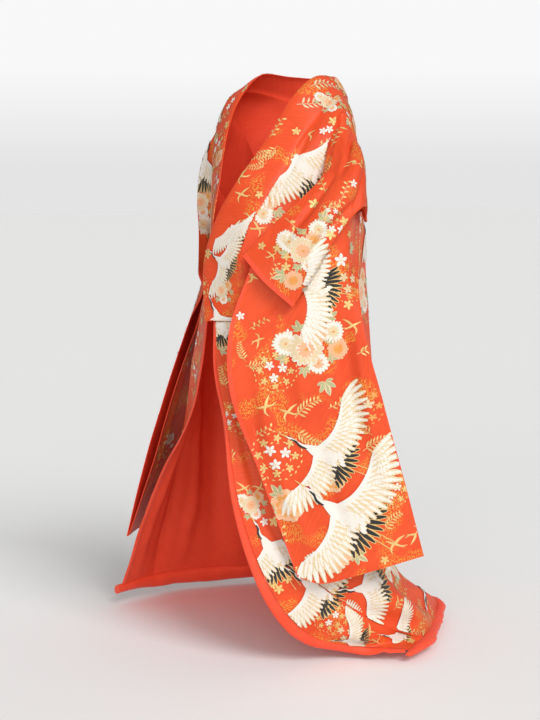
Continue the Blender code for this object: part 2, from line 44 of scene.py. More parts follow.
# The robe's cloth thicknesses and rolls, in metres, and its mesh density
robe = {
    "cloth": 0.0016,
    "lining": 0.0010,
    "seamGap": 0.0003,
    "armholeGap": 0.00005,
    "pleatStep": 0.006,
    "collarCrown": 0.0038,   # how far the padded collar stands up along its middle
    "bodyWrinkle": 0.004,
    "sleeveWrinkle": 0.003,
    "edgeRollWidth": 0.030,
    "edgeRollDepth": 0.012,
    "edgeRollStart": 0.003,
    "hemRollWidth": 0.055,
    "hemRollDepth": 0.030,
    "rollSides": 20,
    "rollSlack": 0.96,       # a padded tube draws in a little under its stated width
    "rollGirth": 0.08,       # the pattern's run round a roll
    "edgeRidge": 0.25,       # how uneven the wadding makes a roll's thickness, and how often
    "hemRidge": 0.14,
    "ridgesPerMetre": 32,
    "hemSteps": 3,           # the hem's line is smoothed so many times and cut so much finer
    "hemSmoothing": 3,
    "crispAngle": 60,        # degrees past which an edge is a fold in the cloth
    "panelColumns": (16, 16),
    "overlapColumns": 12,
    "collarColumns": 12,
    "lowerSteps": 10,
    "upperSteps": 8,
    "sleeveColumns": (12, 12, 12, 12),
    "outerSteps": {"bulge": 16, "fold": 32, "tuck": 12, "hip": 18, "thigh": 18, "knee": 18, "hem": 24},
    "innerSteps": {"bulge": 16, "tuck": 16, "hip": 14, "thigh": 18, "knee": 18, "hem": 24},
    "neckStation": 4,        # the upper station where the collar starts
    "shoulderStation": 7,
    "sewnBack": 5,           # upper stations that the armhole spans behind the shoulder
    "sewnFront": 4,
    "stillColumns": 4,       # round the armhole the cloth keeps its line for so many columns and rows
    "stillRows": 6,
}


def metres(value):
    # a table in millimetres, turned to metres
    if isinstance(value, dict):
        return {key: metres(one) for key, one in value.items()}
    if isinstance(value, (list, tuple)):
        return [metres(one) for one in value]
    return None if value is None else value / 1000


# Below the waist, down to the hem. Each row runs edge, overlap, front, side, back, centre back.
lowerLeft = metres((
    ((22, -262, -545), (120, -222, -540), (185, -108, -540), (205, 25, -540), (121, 158, -540),
     (0, 192, -540)),
    ((26, -265, -660), (125, -208, -660), (185, -103, -660), (205, 32, -660), (122, 168, -660),
     (0, 201, -660)),
    ((52, -257, -800), (130, -195, -800), (185, -95, -800), (207, 45, -800), (125, 180, -800),
     (0, 212, -800)),
    ((85, -252, -970), (155, -170, -970), (205, -65, -970), (210, 75, -970), (125, 200, -970),
     (-5, 230, -970)),
    ((125, -222, -1120), (195, -120, -1120), (240, 0, -1110), (215, 130, -1110), (105, 240, -1110),
     (-20, 260, -1110)),
    ((158, -170, -1240), (235, -30, -1210), (265, 90, -1200), (205, 190, -1200), (85, 275, -1200),
     (-40, 285, -1190)),
    ((176, -90, -1315), (265, 60, -1280), (262, 180, -1265), (170, 290, -1265), (55, 335, -1270),
     (-75, 335, -1265)),
    ((215, 20, -1350), (285, 160, -1325), (230, 280, -1310), (130, 380, -1310), (0, 410, -1320),
     (-125, 410, -1325)),
    ((360, 150, -1362), (270, 265, -1362), (180, 370, -1362), (100, 470, -1358), (-50, 505, -1362),
     (-200, 500, -1362)),
))
lowerRight = metres((
    ((-12, -224, -545), (-100, -185, -545), (-180, -95, -540), (-215, 30, -540), (-121, 158, -540),
     (0, 192, -540)),
    ((-38, -222, -660), (-150, -172, -660), (-235, -70, -660), (-235, 62, -660), (-123, 175, -660),
     (0, 201, -660)),
    ((-110, -215, -800), (-220, -130, -800), (-300, -20, -800), (-270, 100, -800),
     (-130, 200, -800), (0, 212, -800)),
    ((-265, -200, -970), (-330, -85, -970), (-370, 30, -970), (-320, 160, -970), (-150, 240, -970),
     (-5, 230, -970)),
    ((-370, -185, -1100), (-420, -55, -1100), (-430, 70, -1100), (-360, 215, -1100),
     (-180, 290, -1110), (-20, 260, -1110)),
    ((-435, -172, -1190), (-480, -40, -1190), (-475, 90, -1190), (-390, 250, -1190),
     (-215, 335, -1200), (-40, 285, -1190)),
    ((-472, -165, -1245), (-510, -33, -1245), (-498, 100, -1245), (-412, 265, -1245),
     (-245, 365, -1258), (-75, 335, -1265)),
    ((-505, -159, -1290), (-535, -24, -1290), (-520, 110, -1290), (-430, 288, -1285),
     (-285, 398, -1305), (-125, 410, -1325)),
    ((-555, -150, -1362), (-575, -15, -1362), (-560, 120, -1362), (-465, 330, -1362),
     (-350, 450, -1362), (-200, 500, -1362)),
))
# From the waist up the back, over the shoulder and down the front. Each row runs collar, seam, middle,
# outer edge. The first is the collar's free edge, and None where the row doesn't reach the collar.
upperLeft = metres((
    (None, (0, 186, -440), (118, 153, -440), (205, 22, -440)),
    (None, (0, 187, -345), (115, 155, -345), (205, 30, -345)),
    (None, (0, 188, -260), (100, 155, -265), (165, 90, -270)),
    (None, (0, 180, -170), (100, 146, -185), (180, 80, -210)),
    ((0, 135, 30), (0, 155, -45), (110, 122, -95), (195, 63, -150)),
    ((40, 125, 30), (70, 135, -35), (140, 98, -70), (200, 50, -115)),
    ((75, 85, 30), (120, 85, -20), (162, 60, -45), (200, 33, -82)),
    ((90, 13, 25), (140, 40, -18), (168, 28, -35), (195, 15, -59)),
    ((95, -53, -20), (155, -12, -58), (180, -15, -75), (200, -15, -100)),
    ((90, -100, -80), (155, -70, -116), (182, -60, -130), (200, -40, -145)),
    ((83, -148, -147), (148, -118, -182), (180, -85, -185), (200, -42, -185)),
    ((68, -197, -213), (137, -165, -248), (175, -110, -245), (203, -45, -225)),
    ((26, -230, -305), (122, -208, -325), (180, -110, -335), (205, 30, -345)),
    ((-3, -246, -415), (110, -233, -430), (184, -110, -440), (205, 22, -440)),
))
upperRight = metres((
    (None, (0, 186, -440), (-118, 153, -440), (-205, 18, -440)),
    (None, (0, 187, -345), (-115, 155, -345), (-205, 25, -345)),
    (None, (0, 188, -260), (-100, 155, -265), (-165, 88, -265)),
    (None, (0, 180, -170), (-100, 146, -185), (-183, 75, -205)),
    ((0, 135, 30), (0, 155, -45), (-110, 122, -92), (-200, 55, -145)),
    ((-40, 125, 32), (-70, 135, -35), (-142, 95, -62), (-205, 40, -110)),
    ((-75, 80, 36), (-125, 85, -15), (-168, 50, -35), (-205, 12, -75)),
    ((-90, 0, 40), (-145, 0, 0), (-175, -10, -18), (-200, -20, -50)),
    ((-96, -48, 0), (-158, -48, -18), (-185, -47, -48), (-205, -45, -90)),
    ((-93, -85, -50), (-152, -83, -78), (-180, -75, -105), (-202, -62, -135)),
    ((-72, -130, -140), (-135, -115, -165), (-170, -92, -175), (-200, -66, -182)),
    ((-38, -168, -215), (-115, -138, -250), (-160, -102, -250), (-196, -64, -225)),
    ((-12, -208, -310), (-90, -158, -345), (-150, -95, -345), (-205, 25, -345)),
    ((2, -221, -430), (-75, -175, -450), (-150, -100, -445), (-205, 18, -440)),
))

# Sleeves. Each row runs from the wrist edge to the body edge: wrist, third, middle, elbow, body.
# The left sleeve is laid out in the upright plane that its forearm lies in:
# (along the forearm towards the elbow, up, out from the body).
sleevePlane = {"origin": (0.169, -0.141), "along": (0.64, 0.77), "out": (0.77, -0.64)}
leftOuter = metres({
    "top": ((-95, -389, 50), (-5, -296, 50), (88, -203, 22), (118, -125, -30), None),
    "bulge": ((-45, -445, 88), (45, -350, 98), (126, -250, 78), (172, -160, 10), None),
    "fold": ((16, -500, 78), (70, -408, 86), (125, -322, 78), (180, -270, 35), (195, -312, -100)),
    "tuck": ((-82, -418, 60), (0, -340, 66), (78, -272, 60), (152, -238, 30), (188, -290, -106)),
    "hip": ((-128, -560, 48), (0, -545, 56), (75, -530, 56), (130, -515, 48), (175, -510, 30)),
    "thigh": ((-126, -705, 44), (0, -720, 52), (85, -725, 50), (165, -730, 46), (229, -730, 40)),
    "knee": ((-60, -890, 42), (40, -900, 50), (125, -905, 50), (205, -905, 46), (277, -905, 40)),
    "hem": ((30, -1143, 40), (85, -1157, 42), (165, -1138, 42), (245, -1115, 40), (326, -1091, 38)),
})
leftInner = metres({
    "bulge": ((-90, -440, 28), (-5, -370, 12), (62, -280, 2), (92, -178, -12), None),
    "tuck": ((-98, -490, 34), (-20, -450, 22), (45, -360, 8), (84, -265, -4), None),
    "hip": ((-122, -580, 36), (-10, -570, 28), (65, -545, 20), (120, -490, 12), (156, -420, 8)),
    "thigh": ((-126, -705, 36), (0, -720, 32), (85, -725, 22), (160, -728, 12), (214, -728, 0)),
    "knee": ((-60, -890, 35), (40, -900, 32), (125, -905, 26), (198, -905, 18), (262, -905, 10)),
    "hem": ((30, -1143, 34), (85, -1157, 36), (165, -1138, 36), (245, -1115, 34), (326, -1091, 32)),
})
# The right arm hangs nearer to straight, and its sleeve lies against the flared skirt.
rightOuter = metres({
    "top": ((-198, -118, -450), (-235, -88, -350), (-262, -70, -255), (-248, -55, -150), None),
    "bulge": ((-224, -85, -500), (-270, -40, -410), (-295, -15, -315), (-285, -10, -200), None),
    "tuck": ((-225, -125, -570), (-285, -55, -530), (-310, 0, -480), (-300, 60, -420),
        (-245, 115, -380)),
    "thigh": ((-300, -150, -760), (-350, -75, -755), (-370, 0, -750), (-370, 75, -745),
        (-340, 145, -740)),
    "knee": ((-380, -165, -960), (-435, -90, -960), (-455, -10, -955), (-450, 70, -950),
        (-420, 145, -945)),
    "hem": ((-455, -172, -1165), (-505, -95, -1160), (-525, -15, -1155), (-520, 65, -1150),
        (-490, 140, -1145)),
})
rightInner = metres({
    "bulge": ((-194, -100, -500), (-220, -72, -400), (-240, -62, -295), (-226, -58, -190), None),
    "tuck": ((-208, -112, -570), (-228, -72, -475), (-238, -56, -360), (-222, -58, -265), None),
    "hip": ((-235, -128, -650), (-272, -70, -600), (-280, -34, -520), (-266, -14, -430),
        (-246, 4, -380)),
    "thigh": ((-275, -143, -760), (-328, -70, -755), (-348, 0, -750), (-345, 72, -745),
        (-315, 135, -740)),
    "knee": ((-354, -156, -960), (-412, -82, -960), (-430, -6, -955), (-425, 66, -950),
        (-395, 135, -945)),
    "hem": ((-449, -170, -1163), (-499, -92, -1158), (-519, -13, -1153), (-514, 62, -1148),
        (-484.5, 137, -1143)),
})


def spline(points, steps):
    # a smooth line through the points, with as many steps in each span as given
    p = np.asarray(points, float)
    chords = np.diff(p, axis=0)
    knots = np.concatenate(([0.0], np.cumsum(np.sqrt(np.linalg.norm(chords, axis=1)) + 1e-6)))
    spans = np.diff(knots)[:, None]
    chords = chords / spans
    slopes = np.empty_like(p)
    slopes[0], slopes[-1] = chords[0], chords[-1]
    before, after = spans[:-1], spans[1:]
    slopes[1:-1] = (chords[:-1] * after + chords[1:] * before) / (before + after)
    out = []
    for i, count in enumerate(steps):
        span = knots[i + 1] - knots[i]
        for t in np.arange(count) / count:
            out.append((2 * t**3 - 3 * t**2 + 1) * p[i] + (t**3 - 2 * t**2 + t) * span * slopes[i]
                       + (-2 * t**3 + 3 * t**2) * p[i + 1] + (t**3 - t**2) * span * slopes[i + 1])
    out.append(p[-1])
    return np.array(out)


def surface(rows, columnSteps, rowSteps):
    across = np.array([spline(row, columnSteps) for row in rows])
    return np.stack([spline(across[:, i], rowSteps) for i in range(across.shape[1])], axis=1)


def unit(v):
    return v / np.maximum(np.linalg.norm(v, axis=-1, keepdims=True), 1e-9)


def lengthAlong(points):
    steps = np.linalg.norm(np.diff(points, axis=0), axis=-1)
    return np.concatenate((np.zeros_like(steps[:1]), np.cumsum(steps, axis=0)))


def normalsOf(net):
    faces = unit(np.cross(net[1:, 1:] - net[:-1, :-1], net[:-1, 1:] - net[1:, :-1]))
    total = np.zeros_like(net)
    for rows in (slice(None, -1), slice(1, None)):
        for columns in (slice(None, -1), slice(1, None)):
            total[rows, columns] += faces
    return unit(total)


def insetColumn(net, column, inside, amount):
    way = net[:, inside] - net[:, column]
    length = np.linalg.norm(way, axis=-1, keepdims=True)
    net[:, column] += way / length * np.minimum(amount, 0.6 * length)   # never past the next column


def withRoll(rows):
    # the lower stations, with the hem and the front edge moved back by their rolls' widths
    rows = [[np.array(p, float) for p in row] for row in rows]
    for j in range(len(rows[-1])):
        rows[-1][j] = rows[-1][j] + unit(rows[-2][j] - rows[-1][j]) * robe["hemRollWidth"]
    for row in rows:
        row[0] = row[0] + unit(row[1] - row[0]) * robe["edgeRollWidth"]
    return rows


def bodyNets(lower, upper):
    # one panel from the back hem over the shoulder to the front hem, and the overlap beside its front
    edge = lower[0][0]
    lower = withRoll(lower)
    back = [[row[5], row[4], row[3]] for row in reversed(lower)]
    front = [row[1:4] for row in lower]
    over = [row[1:] for row in upper]
    count, fine, coarse = len(lower) - 1, robe["upperSteps"], robe["lowerSteps"]
    panel = surface(back + over + front, robe["panelColumns"],
                    [coarse] * count + [fine] * (len(upper) + 1) + [coarse] * count)
    overlap = surface([row[:2] for row in lower], (robe["overlapColumns"],), [coarse] * count)
    overlap[:, -1] = panel[-len(overlap):, 0]
    first = count * coarse + fine                      # panel row of the first upper station
    neck = next(i for i, row in enumerate(upper) if row[0] is not None)
    seam = panel[first + neck * fine:first + len(upper) * fine + 1, 0]
    free = spline([row[0] for row in upper[neck:]] + [edge], [fine] * (len(upper) - neck))
    return panel, overlap, seam, free, first


def toWorld(point):
    along, up, out = point
    x, y = (sleevePlane["origin"][i] + sleevePlane["along"][i] * along + sleevePlane["out"][i] * out
            for i in (0, 1))
    return np.array((x, y, up))


def sleeveSheet(outer, inner, armholeBack, armholeFront, pleated, world):
    # one sheet up the inner side of the bag, over the top and down the outer side
    outerSteps, innerSteps, columns = robe["outerSteps"], robe["innerSteps"], robe["sleeveColumns"]
    outer, inner = ({name: [None if p is None else world(p) for p in row] for name, row in rows.items()}
                    for rows in (outer, inner))
    outer["top"][-1] = armholeBack[0]
    outer["bulge"][-1] = armholeBack[outerSteps["bulge"]]
    inner["bulge"][-1] = armholeFront[innerSteps["bulge"]]
    inner["tuck"][-1] = armholeFront[-1]
    names = [name for name in outer if name != "top"]
    upward = list(inner)[::-1]
    steps = dict(outerSteps)
    if not pleated:
        steps["tuck"] = outerSteps["fold"]             # the sewn part has as many steps as the armhole
    under = surface([inner[name] for name in upward] + [outer["top"]], columns,
                    [innerSteps[name] for name in upward])
    under[-len(armholeFront):, -1] = armholeFront[::-1]
    cut = names.index("fold" if pleated else "tuck") + 1
    upper = surface([outer["top"]] + [outer[name] for name in names[:cut]], columns,
                    [steps[name] for name in names[:cut]])
    upper[:len(armholeBack), -1] = armholeBack
    start = cut if pleated else cut - 1
    lower = surface([outer[name] for name in names[start:]], columns,
                    [steps[name] for name in names[start + 1:]])
    if not pleated:
        return np.concatenate((under[:-1], upper, lower[1:]))
    # the bag is folded under the forearm, in three layers a pleat's step apart
    middle = surface([outer["fold"], outer["tuck"]], columns, [steps["tuck"]])
    inward = unit(normalsOf(middle).mean(axis=0)) * robe["pleatStep"]
    turn = unit(middle[0] - middle[-1]) * robe["pleatStep"] / 2
    middle = middle + inward
    for i, share in enumerate(1 - np.arange(steps["hip"]) / steps["hip"]):
        lower[i] += 2 * share * inward
    outerTurn = (upper[-1] + middle[0]) / 2 + turn
    innerTurn = (middle[-1] + lower[0]) / 2 - turn
    return np.concatenate((under[:-1], upper, [outerTurn], middle, [innerTurn], lower))


def hemLine(side, panel):
    # the hem's own line from the front edge to the centre back, the way out of it and the way up
    overlap, panelWay, overlapWay = side["overlapNet"], side["panelWay"], side["overlapWay"]
    points, inside, up = (np.concatenate((b[end], a[end, 1:], a[start, -2::-1]))
                          for a, b, end, start in ((panel, overlap, -1, 0), (panel, overlap, -2, 1),
                                                   (panelWay, overlapWay, -1, 0)))
    away = unit(points - inside)
    corner = points[0] + unit(points[0] - points[1]) * robe["edgeRollWidth"]
    return np.vstack((corner, points)), np.vstack((away[0], away)), np.vstack((up[0], up))


# Creases, in millimetres: the points that each runs through, its width and its depth,
# which is below zero for a trough
creases = metres({
    "sleeveLeft": (
        (((230, -155, -455), (212, -177, -495), (177, -216, -553), (140, -252, -612)), 13, -12),
        (((258, -136, -470), (243, -150, -560), (237, -155, -660), (250, -130, -800)), 17, 9),
        (((290, -75, -450), (296, -64, -566), (305, -51, -729), (335, -15, -915)), 17, -9),
        (((310, -45, -500), (325, -30, -700), (360, 20, -950)), 13, 8),
        (((171, -212, -700), (190, -200, -822), (213, -162, -961), (256, -107, -1100)), 17, 9),
        (((258, -115, -797), (275, -90, -930), (301, -54, -1054)), 17, -8),
        (((150, -240, -640), (160, -228, -760), (158, -226, -880)), 12, -7),
        (((285, -50, -165), (272, -100, -230), (255, -150, -290), (233, -194, -355)), 10, -12),
        (((209, 30, -110), (245, -10, -140), (280, -60, -190)), 7, -11),
        (((318, -40, -250), (305, -119, -320), (265, -175, -405)), 9, -9),
        (((258, -31, -147), (280, -90, -210), (262, -140, -275)), 7, 8),
        (((300, -10, -190), (318, -30, -230), (322, -60, -290)), 7, -8),
    ),
    "sleeveRight": (
        (((-239, -103, -608), (-344, -108, -853), (-442, -120, -1078)), 12, 8),
        (((-300, -30, -400), (-350, -30, -650), (-420, -40, -900)), 17, -11),
        (((-310, 30, -420), (-370, 50, -700), (-440, 50, -950)), 17, 11),
        (((-290, -50, -200), (-300, -20, -320), (-290, 0, -420)), 11, -11),
        (((-300, 0, -160), (-310, 20, -280), (-290, 70, -380)), 9, 8),
        (((-360, 100, -760), (-430, 110, -950), (-480, 100, -1100)), 16, -9),
    ),
    "body": (
        # the train, fanned out over the floor
        (((227, -50, -1211), (266, 75, -1273), (285, 191, -1340)), 21, -13),
        (((234, -25, -1300), (255, 50, -1330), (271, 104, -1350)), 16, 10),
        (((267, 74, -1213), (265, 177, -1269), (248, 263, -1338)), 21, 14),
        (((240, 160, -1200), (220, 250, -1270), (190, 330, -1335)), 22, -13),
        (((170, 220, -1180), (140, 320, -1280), (100, 430, -1340)), 26, 15),
        (((60, 260, -1120), (20, 340, -1270), (-20, 450, -1340)), 26, -14),
        (((-60, 270, -1100), (-100, 360, -1280), (-160, 470, -1340)), 29, 15),
        (((-160, 270, -1080), (-220, 350, -1250), (-280, 440, -1330)), 26, -14),
        (((-280, 240, -1050), (-340, 300, -1200), (-390, 370, -1320)), 27, 13),
        (((-370, 170, -1020), (-430, 190, -1200), (-460, 220, -1320)), 26, -13),
        # gathers below the grip on the left front, the deepest beside the sleeve's edge
        (((85, -235, -640), (108, -214, -800), (138, -185, -960), (190, -120, -1120)), 20, -24),
        (((60, -255, -580), (67, -244, -738), (106, -226, -923)), 8, -7),
        (((100, -235, -560), (105, -225, -750), (140, -190, -950), (190, -120, -1120)), 11, 9),
        (((135, -205, -560), (140, -185, -780), (185, -130, -1000), (235, -50, -1180)), 13, -11),
        (((160, -150, -560), (170, -130, -800), (210, -60, -1000), (250, 40, -1180)), 16, 10),
        (((190, -80, -500), (200, -40, -800), (225, 20, -1000), (250, 100, -1180)), 19, -10),
        # the right front, pulled across to the grip
        (((-90, -200, -620), (-220, -170, -850), (-370, -130, -1080), (-500, -90, -1300)), 16, -10),
        (((-160, -160, -660), (-280, -110, -880), (-420, -50, -1100), (-530, -20, -1300)), 22, 13),
        (((-220, -100, -680), (-330, -40, -900), (-440, 30, -1100), (-530, 60, -1300)), 22, -13),
        (((-240, -30, -660), (-350, 50, -900), (-440, 110, -1100), (-500, 150, -1300)), 26, 13),
        # the back
        (((60, 185, -250), (65, 190, -600), (60, 215, -950), (40, 270, -1180)), 19, -7),
        (((-50, 185, -200), (-60, 190, -550), (-70, 215, -900), (-90, 270, -1150)), 22, 7),
        (((120, 150, -350), (125, 165, -650), (120, 200, -950)), 17, 6),
        (((-130, 150, -350), (-150, 170, -650), (-200, 220, -950)), 19, -8),
        # the chest
        (((150, -20, -70), (161, -87, -147), (153, -143, -241), (137, -184, -312)), 9, -5),
        (((-150, -60, -60), (-150, -105, -160), (-125, -140, -260)), 9, -5),
    ),
})
wrinkles = ((7, 1.3, 0, 1), (17, 4, 5, 0.35))   # how many a metre across and down, where from, how deep
fold = {
    "reach": 0.09,        # how far a crease's point may lie from the cloth
    "steps": 6,
    "ends": (0.02, 0.98),
    "swell": 0.6,         # the lower it is, the sooner a crease is at its full depth
}


def groundOf(nets, flipped=False):
    corners, quads = [], []
    for net in nets:
        rows, columns = net.shape[:2]
        index = len(corners) + np.arange(rows * columns).reshape(rows, columns)
        quads.append(np.stack((index[:-1, :-1], index[:-1, 1:], index[1:, 1:], index[1:, :-1]), axis=-1))
        corners += [Vector(p) for p in net.reshape(-1, 3)]
    quads = np.concatenate([one.reshape(-1, 4) for one in quads])
    return BVHTree.FromPolygons(corners, (quads[:, ::-1] if flipped else quads).tolist())


def creaseShift(points, group, soft, ground):
    # how far the cloth moves along its normals: slight wrinkles all over, then the placed creases
    flat = points.reshape(-1, 3)
    shift = np.zeros(len(flat))
    for across, down, start, share in wrinkles:
        shift += np.array([noise.noise(Vector((p[0] * across + start, p[1] * across, p[2] * down)))
                           for p in flat]) * soft * share
    for line, width, depth in creases[group]:
        found = [ground.find_nearest(Vector(p), fold["reach"]) for p in line]
        line = spline([f[0] if f[0] else p for f, p in zip(found, line)], [fold["steps"]] * (len(line) - 1))
        nearest = np.full(len(flat), 1e9)
        share = np.zeros(len(flat))
        for i in range(len(line) - 1):
            a, b = line[i], line[i + 1]
            t = np.clip(((flat - a) @ (b - a)) / ((b - a) @ (b - a)), 0, 1)
            gap = np.linalg.norm(flat - (a + t[:, None] * (b - a)), axis=1)
            closer = gap < nearest
            nearest[closer] = gap[closer]
            share[closer] = ((i + t) / (len(line) - 1))[closer]
        fade = np.sin(np.pi * np.clip(share, *fold["ends"])) ** fold["swell"]
        shift += depth * np.exp(-(nearest / width) ** 2) * fade
    return shift.reshape(points.shape[:-1])


outerFaces = {}


def finish(bm, name, finishes, replaced):
    mesh = bpy.data.meshes.new(name)
    bm.to_mesh(mesh)
    bm.free()
    mesh.shade_smooth()
    mesh.set_sharp_from_angle(angle=math.radians(robe["crispAngle"]))
    for one in finishes:
        mesh.materials.append(one)
    piece = bpy.data.objects.new(name + "_silk" if replaced else name, mesh)
    bpy.context.scene.collection.objects.link(piece)
    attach(piece, "root")
    if replaced:
        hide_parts(replaced)
    return piece


def clothWall(name, net, ways, low, high, finishes, edgeColumns=0):
    # a grid laid on the net and extruded into a wall: finishes are outside, inside and edge
    rows, columns = net.shape[:2]
    across, down = lengthAlong(net.swapaxes(0, 1)).T.ravel(), lengthAlong(net).ravel()
    bm = bmesh.new()
    uvMap = bm.loops.layers.uv.new("cloth")
    order = bm.verts.layers.int.new("order")
    bmesh.ops.create_grid(bm, x_segments=columns - 1, y_segments=rows - 1, size=0.5)
    for i, vert in enumerate(sorted(bm.verts, key=lambda v: (round(v.co.y, 5), round(v.co.x, 5)))):
        vert[order] = i
    made = bmesh.ops.extrude_face_region(bm, geom=bm.faces[:], use_keep_orig=True)
    far = {v for v in made["geom"] if isinstance(v, bmesh.types.BMVert)}
    outerFaces[name] = (net + ways * high, ways)
    points, directions = net.reshape(-1, 3), ways.reshape(-1, 3)
    for vert in bm.verts:
        i = vert[order]
        vert.co = points[i] + directions[i] * (high if vert in far else low)
    for face in bm.faces:
        outside = sum(v in far for v in face.verts)
        if outside == len(face.verts):
            folded = min(v[order] % columns for v in face.verts) < edgeColumns
            face.material_index = 2 if folded else 0
        else:
            face.material_index = 1 if outside == 0 else 2
        for loop in face.loops:
            loop[uvMap].uv = (across[loop.vert[order]], down[loop.vert[order]])
    bmesh.ops.recalc_face_normals(bm, faces=bm.faces)
    if bm.calc_volume(signed=True) < 0:
        bmesh.ops.reverse_faces(bm, faces=bm.faces)
    finish(bm, name, finishes, name)


def roll(name, path, away, up, widths, depths, ridge):
    # a padded tube: a ring extruded along the path, its thickness uneven by the ridge's share
    length, sides = lengthAlong(path), robe["rollSides"]
    bm = bmesh.new()
    uvMap = bm.loops.layers.uv.new("cloth")
    around = bm.verts.layers.int.new("around")
    ring = bmesh.ops.create_circle(bm, segments=sides, radius=1.0)["verts"]
    for i, vert in enumerate(sorted(ring, key=lambda v: math.atan2(v.co.y, v.co.x))):
        vert[around] = i
    edges = list({e for v in ring for e in v.link_edges})
    for k in range(len(path)):
        if k:
            grown = bmesh.ops.extrude_edge_only(bm, edges=edges)["geom"]
            edges = [e for e in grown if isinstance(e, bmesh.types.BMEdge)]
            ring = [v for v in grown if isinstance(v, bmesh.types.BMVert)]
        swell = 1 + ridge * noise.noise(Vector((length[k] * robe["ridgesPerMetre"], 3.7, 0.2)))
        for vert in ring:
            angle = 2 * math.pi * vert[around] / sides
            vert.co = (path[k] + away[k] * math.cos(angle) * widths[k] / 2 * robe["rollSlack"]
                       + up[k] * math.sin(angle) * depths[k] / 2 * swell)
    bmesh.ops.holes_fill(bm, edges=[e for e in bm.edges if e.is_boundary], sides=sides)
    for face in bm.faces:
        for loop in face.loops:
            loop[uvMap].uv = (loop.vert[around] / sides * robe["rollGirth"], loop.vert.co.z)
    bmesh.ops.recalc_face_normals(bm, faces=bm.faces)
    return finish(bm, name, [paddedSilk], name)


print("cloth tools ready")


def hexColour(code, alpha=1.0):
    parts = [int(code[i:i + 2], 16) / 255 for i in (0, 2, 4)]
    return tuple(c / 12.92 if c <= 0.04045 else ((c + 0.055) / 1.055) ** 2.4 for c in parts) + (alpha,)


def addNode(tree, kind, settings):
    # a setting is a property, a socket's value, or the (node, output) to link to that socket
    node = tree.nodes.new("ShaderNode" + kind)
    for key, value in settings.items():
        if isinstance(value, tuple) and isinstance(value[0], bpy.types.Node):
            tree.links.new(value[0].outputs[value[1]], node.inputs[key])
        elif isinstance(key, str) and hasattr(node, key):
            setattr(node, key, value)
        else:
            node.inputs[key].default_value = value
    return node


def newMaterial(name, settings):
    made = bpy.data.materials.new(name)
    made.use_nodes = True
    shader = made.node_tree.nodes["Principled BSDF"]
    for key, value in settings.items():
        shader.inputs[key].default_value = value
    return made, made.node_tree, shader


# The robe's silks. The satin lines and flecks are coarser than real ones, so that they show.
silks = {
    # Silk satin woven with gold: an even, low shine, and drifts of gold flecks between the flowers
    "brocade": {"name": "silk satin brocade", "light": "E25229", "dark": "D0431E",
                "roughness": 0.42, "sheen": 0.0, "relief": 0.35, "lines": 150, "gilt": "DB9A3E"},
    # Plain-weave silk, for the linings: brighter and more matt, with no pattern
    "plain": {"name": "plain weave red silk", "light": "F25538", "dark": "E6482C",
              "roughness": 0.55, "sheen": 0.0, "relief": 0.3, "lines": 220, "gilt": None},
    # The same silk drawn over wadding: a little smoother, with a faint bloom at its edges
    "padded": {"name": "plain red silk over wadding", "light": "F25538", "dark": "E6482C",
               "roughness": 0.5, "sheen": 0.08, "relief": 0.35, "lines": 180, "gilt": None},
}
pattern = {
    "specular": 0.22, "sheenRoughness": 0.4,
    "blotch": 9.0,                # the colour drifts from the dark tone to the light one in blotches, nine a metre; the soft bump rises with the same blotches, so the dark tone lies in its hollows
    "slub": (0.060, 0.003),       # a thick place in the yarn: its length and width in metres
    "shade": (0.7, 1.3),          # from the dark colour to the light one
    "drift": 13.0, "driftEdge": (0.55, 0.62),
    "flecks": (150, 230, 1), "fleckTurn": 0.6, "fleckEdge": (0.34, 0.28), "giltMetal": 0.4,
    "weaveDepth": 0.0006, "softDepth": 0.004, "softness": 0.25,
}


def between(edges):
    return {"From Min": edges[0], "From Max": edges[1]}


